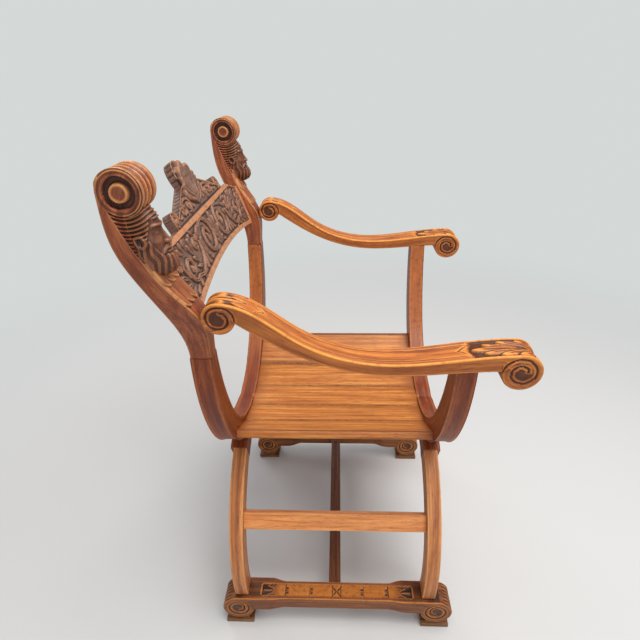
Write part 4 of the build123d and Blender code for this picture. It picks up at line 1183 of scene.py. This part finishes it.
def panel_relief(x, z, base, top):
    """How far the face lies in front of the plank, below 0 where cut back, and its flush bands."""
    aside = np.abs(x)
    ledge = within(z - LEDGE[0] + 0.0052, 0.0048, 0.0007) * within(x, 0.243, 0.001)
    bands = (step(0.0098 - (z - base), 0, 0.0008), ledge, step(0.0022 - (top - z), 0, 0.0006),
             step(aside, 0.2615, 0.2622))
    flush = np.max(bands, axis=0)
    field = foliage(x, z, FIELD_COILS, FIELD_ALMONDS, FIELD_LEAVES)
    crest = foliage(x, z, CREST_COILS, CREST_ALMONDS, CREST_LEAVES) * step(aside, 0.030, 0.036)
    work = np.where(z < LEDGE[0] - 0.005, field, crest)
    depth = (WORK_HIGH * np.clip(work, 0, 1.15) - GROUND_CUT) * (1 - flush)
    leaf = palmette(x, z) * (z > LEDGE[0] - 0.004)
    depth = np.where(leaf > 0.02, np.maximum(depth, LEAF_HIGH * leaf - 0.0025), depth)
    return depth, flush * (leaf < 0.02)


def crest_edge_hollow(x, travelled, across):
    """How deep the panel's upper edge is hollowed: a cove with nicks along the rise, and ribs
    round the end scrolls and over the leaf, all spaced by the way travelled along the edge."""
    aside = np.abs(x)
    nicks, ribs, fan = (np.cos(travelled * 2 * math.pi / pitch) for pitch in RIM_PITCHES)
    rise = step(aside, 0.036, 0.040) * within(x, 0.1355, 0.001)
    on_scroll = within(aside - CREST_SCROLL[0], 0.0142, 0.0004)
    on_leaf = within(x, 0.036, 0.002)
    cove = np.sqrt(np.clip(1 - (2 * across - 1) ** 2, 0, 1))
    return cove * (rise * (0.0022 + 0.0016 * step(nicks, 0.70, 0.92))
                   + 0.0010 * (1 - ribs) * on_scroll + 0.0012 * (1 - fan) * on_leaf)


def panel_slab(name):
    """The panel as one closed slab: columns evenly spaced along the upper outline run up the
    face, over the edge and down the plain back; height sets the turn round the axis of the
    curved face."""
    fine = np.linspace(-PANEL_HALF, PANEL_HALF, 40001)
    outline = panel_top(fine)
    gone = np.concatenate(([0], np.cumsum(np.hypot(np.diff(fine), np.diff(outline)))))
    travelled = np.linspace(0, gone[-1], PANEL_COLUMNS)
    across, top = (np.interp(travelled, gone, line) for line in (fine, outline))
    base = over_circle(across, (0, arch_centre[1]), arch_radius)
    up, over, down = (np.linspace(*ends, count)[:, None]
                      for ends, count in zip(((0, 1), (0, 1), (1, 0)), PANEL_ROWS))
    share = np.concatenate((up, np.ones(over.shape), down))
    through = np.concatenate((np.zeros(up.shape), over, np.ones(down.shape)))
    z = base + (top - base) * share
    x = np.broadcast_to(across, z.shape)
    depth, flush = np.zeros(x.shape), np.zeros(x.shape)
    face = slice(len(up))
    rim = slice(len(up), len(up) + len(over))
    depth[face], flush[face] = panel_relief(x[face], z[face], base, top)
    depth[rim] = -crest_edge_hollow(x[rim], np.abs(travelled - gone[-1] / 2), over)
    z[rim] += depth[rim]
    turn = np.arcsin((z - face_centre[1]) / face_radius)
    radius = face_radius + np.where(through == 0, depth, 0) - through * PANEL_THICK
    grid = np.stack((x, face_centre[0] - radius * np.cos(turn),
                     face_centre[1] + radius * np.sin(turn)), 2)
    grid = np.concatenate((grid, grid[:1]))
    ends = [np.repeat(grid[:, [k]].mean(0, keepdims=True), len(grid), 0) for k in (0, -1)]
    grid = np.concatenate((ends[0], grid, ends[1]), 1)
    ridge = depth - sum(np.roll(depth, way, axis) for axis in (1, 0) for way in (3, -3)) / 4
    # shade is painted shade, dark in the sharp cuts and, by depth, over the sunk ground.
    shade = np.clip(1 + np.minimum(ridge, 0) / 0.0016 + depth / 0.016, 0, 1)
    wear_and_highlight = np.maximum(0.55 * step(ridge, 0.0004, 0.0020), flush)
    marks = [np.pad(np.concatenate((mark, mark[:1])), ((0, 0), (1, 1)), mode="edge")
             for mark in (shade, wear_and_highlight)]
    points = grid.reshape(-1, 3)
    return put_mesh(name, points, grid_faces(*grid.shape[:2]), points[:, [1, 0, 2]], *marks,
                    panel_wood, "back_panel")


panel_wood = waxed_wood("panel_wood", (0.090, 0.040, 0.026), (0.195, 0.100, 0.072),
                        (0.29, 0.140, 0.085), carved=True, wear_and_highlight=0.9, blotch=0.3, sheen=0.40,
                        gold=(0.54, 0.225, 0.095))
panel_slab("carved_panel")

# --- Floor, light and camera ---------------------------------------------------------------
# A wide pale floor that fades into the plain light beyond it, broad soft lamps and the camera.

FLOOR_SHADE = (0.64, 0.635, 0.63)
FLOOR_HALF = 30
FLOOR_FADE = (0.9, 2.6)
FAR_SHADE = (0.66, 0.69, 0.685)
LAMPS = (("high_lamp", (-0.5, -0.7, 3.2), (0, 0, 0.5), 2.0, 92, (1, 0.98, 0.95)),
         ("side_lamp", (-2.8, -1.2, 1.6), (0, 0, 0.5), 1.8, 20, (1, 1, 1)),
         ("far_lamp", (2.4, 1.8, 2.4), (0, 0, 0.6), 1.6, 26, (0.95, 0.97, 1)))
CAMERA_PLACE = (-0.9443, -0.0102, 1.1723)
CAMERA_RIGHT = (0.03487, -0.99924, -0.01765)
CAMERA_UP = (0.47559, 0.00106, 0.87967)
CAMERA_LENS = 26.63
CAMERA_SENSOR = 36


def add_object(name, data):
    """An object with this data, in the scene."""
    made = bpy.data.objects.new(name, data)
    bpy.context.collection.objects.link(made)
    return made


floor_mesh = bpy.data.meshes.new("pale_floor")
corners = [(x * FLOOR_HALF, y * FLOOR_HALF, 0) for x, y in ((-1, -1), (1, -1), (1, 1), (-1, 1))]
floor_mesh.from_pydata(corners, [], [(0, 1, 2, 3)])
pale_floor = add_object("pale_floor", floor_mesh)
floor_paint = bpy.data.materials.new("pale_floor")
floor_kit = bare_kit(floor_paint)
spot = floor_kit.make("TexCoord", output="Object")
reach = floor_kit.make("VectorMath", {0: spot}, output="Value", operation="LENGTH")
matt = floor_kit.make("BsdfDiffuse", {"Color": (*FLOOR_SHADE, 1)})
glow = floor_kit.make("Emission", {"Color": (*FAR_SHADE, 1)})
faded = floor_kit.make("MixShader", {0: reach.between(*FLOOR_FADE), 1: matt, 2: glow})
floor_kit.make("OutputMaterial", {"Surface": faded})
floor_mesh.materials.append(floor_paint)

room = bpy.data.worlds.new("room")
room_kit = bare_kit(room)
seen = room_kit.make("LightPath", output="Is Camera Ray")
lit = room_kit.make("Background", {"Color": (0.88, 0.9, 0.92, 1), "Strength": 0.44})
shown = room_kit.make("Background", {"Color": (*FAR_SHADE, 1), "Strength": 1.0})
room_kit.make("OutputWorld", {"Surface": room_kit.make("MixShader", {0: seen, 1: lit, 2: shown})})

for name, place, aim, size, watts, tint in LAMPS:
    light = bpy.data.lights.new(name, "AREA")
    light.size = size
    light.energy = watts
    light.color = tint
    lamp = add_object(name, light)
    lamp.location = place
    lamp.rotation_euler = (Vector(aim) - Vector(place)).to_track_quat("-Z", "Y").to_euler()

camera_data = bpy.data.cameras.new("camera")
camera_data.lens = CAMERA_LENS
camera_data.sensor_width = CAMERA_SENSOR
camera = add_object("camera", camera_data)
right, up = Vector(CAMERA_RIGHT), Vector(CAMERA_UP)
axes = Matrix((right, up, right.cross(up))).transposed().to_4x4()
camera.matrix_world = Matrix.Translation(CAMERA_PLACE) @ axes
scene = bpy.context.scene
scene.world = room
scene.camera = camera
scene.view_settings.view_transform = "Standard"
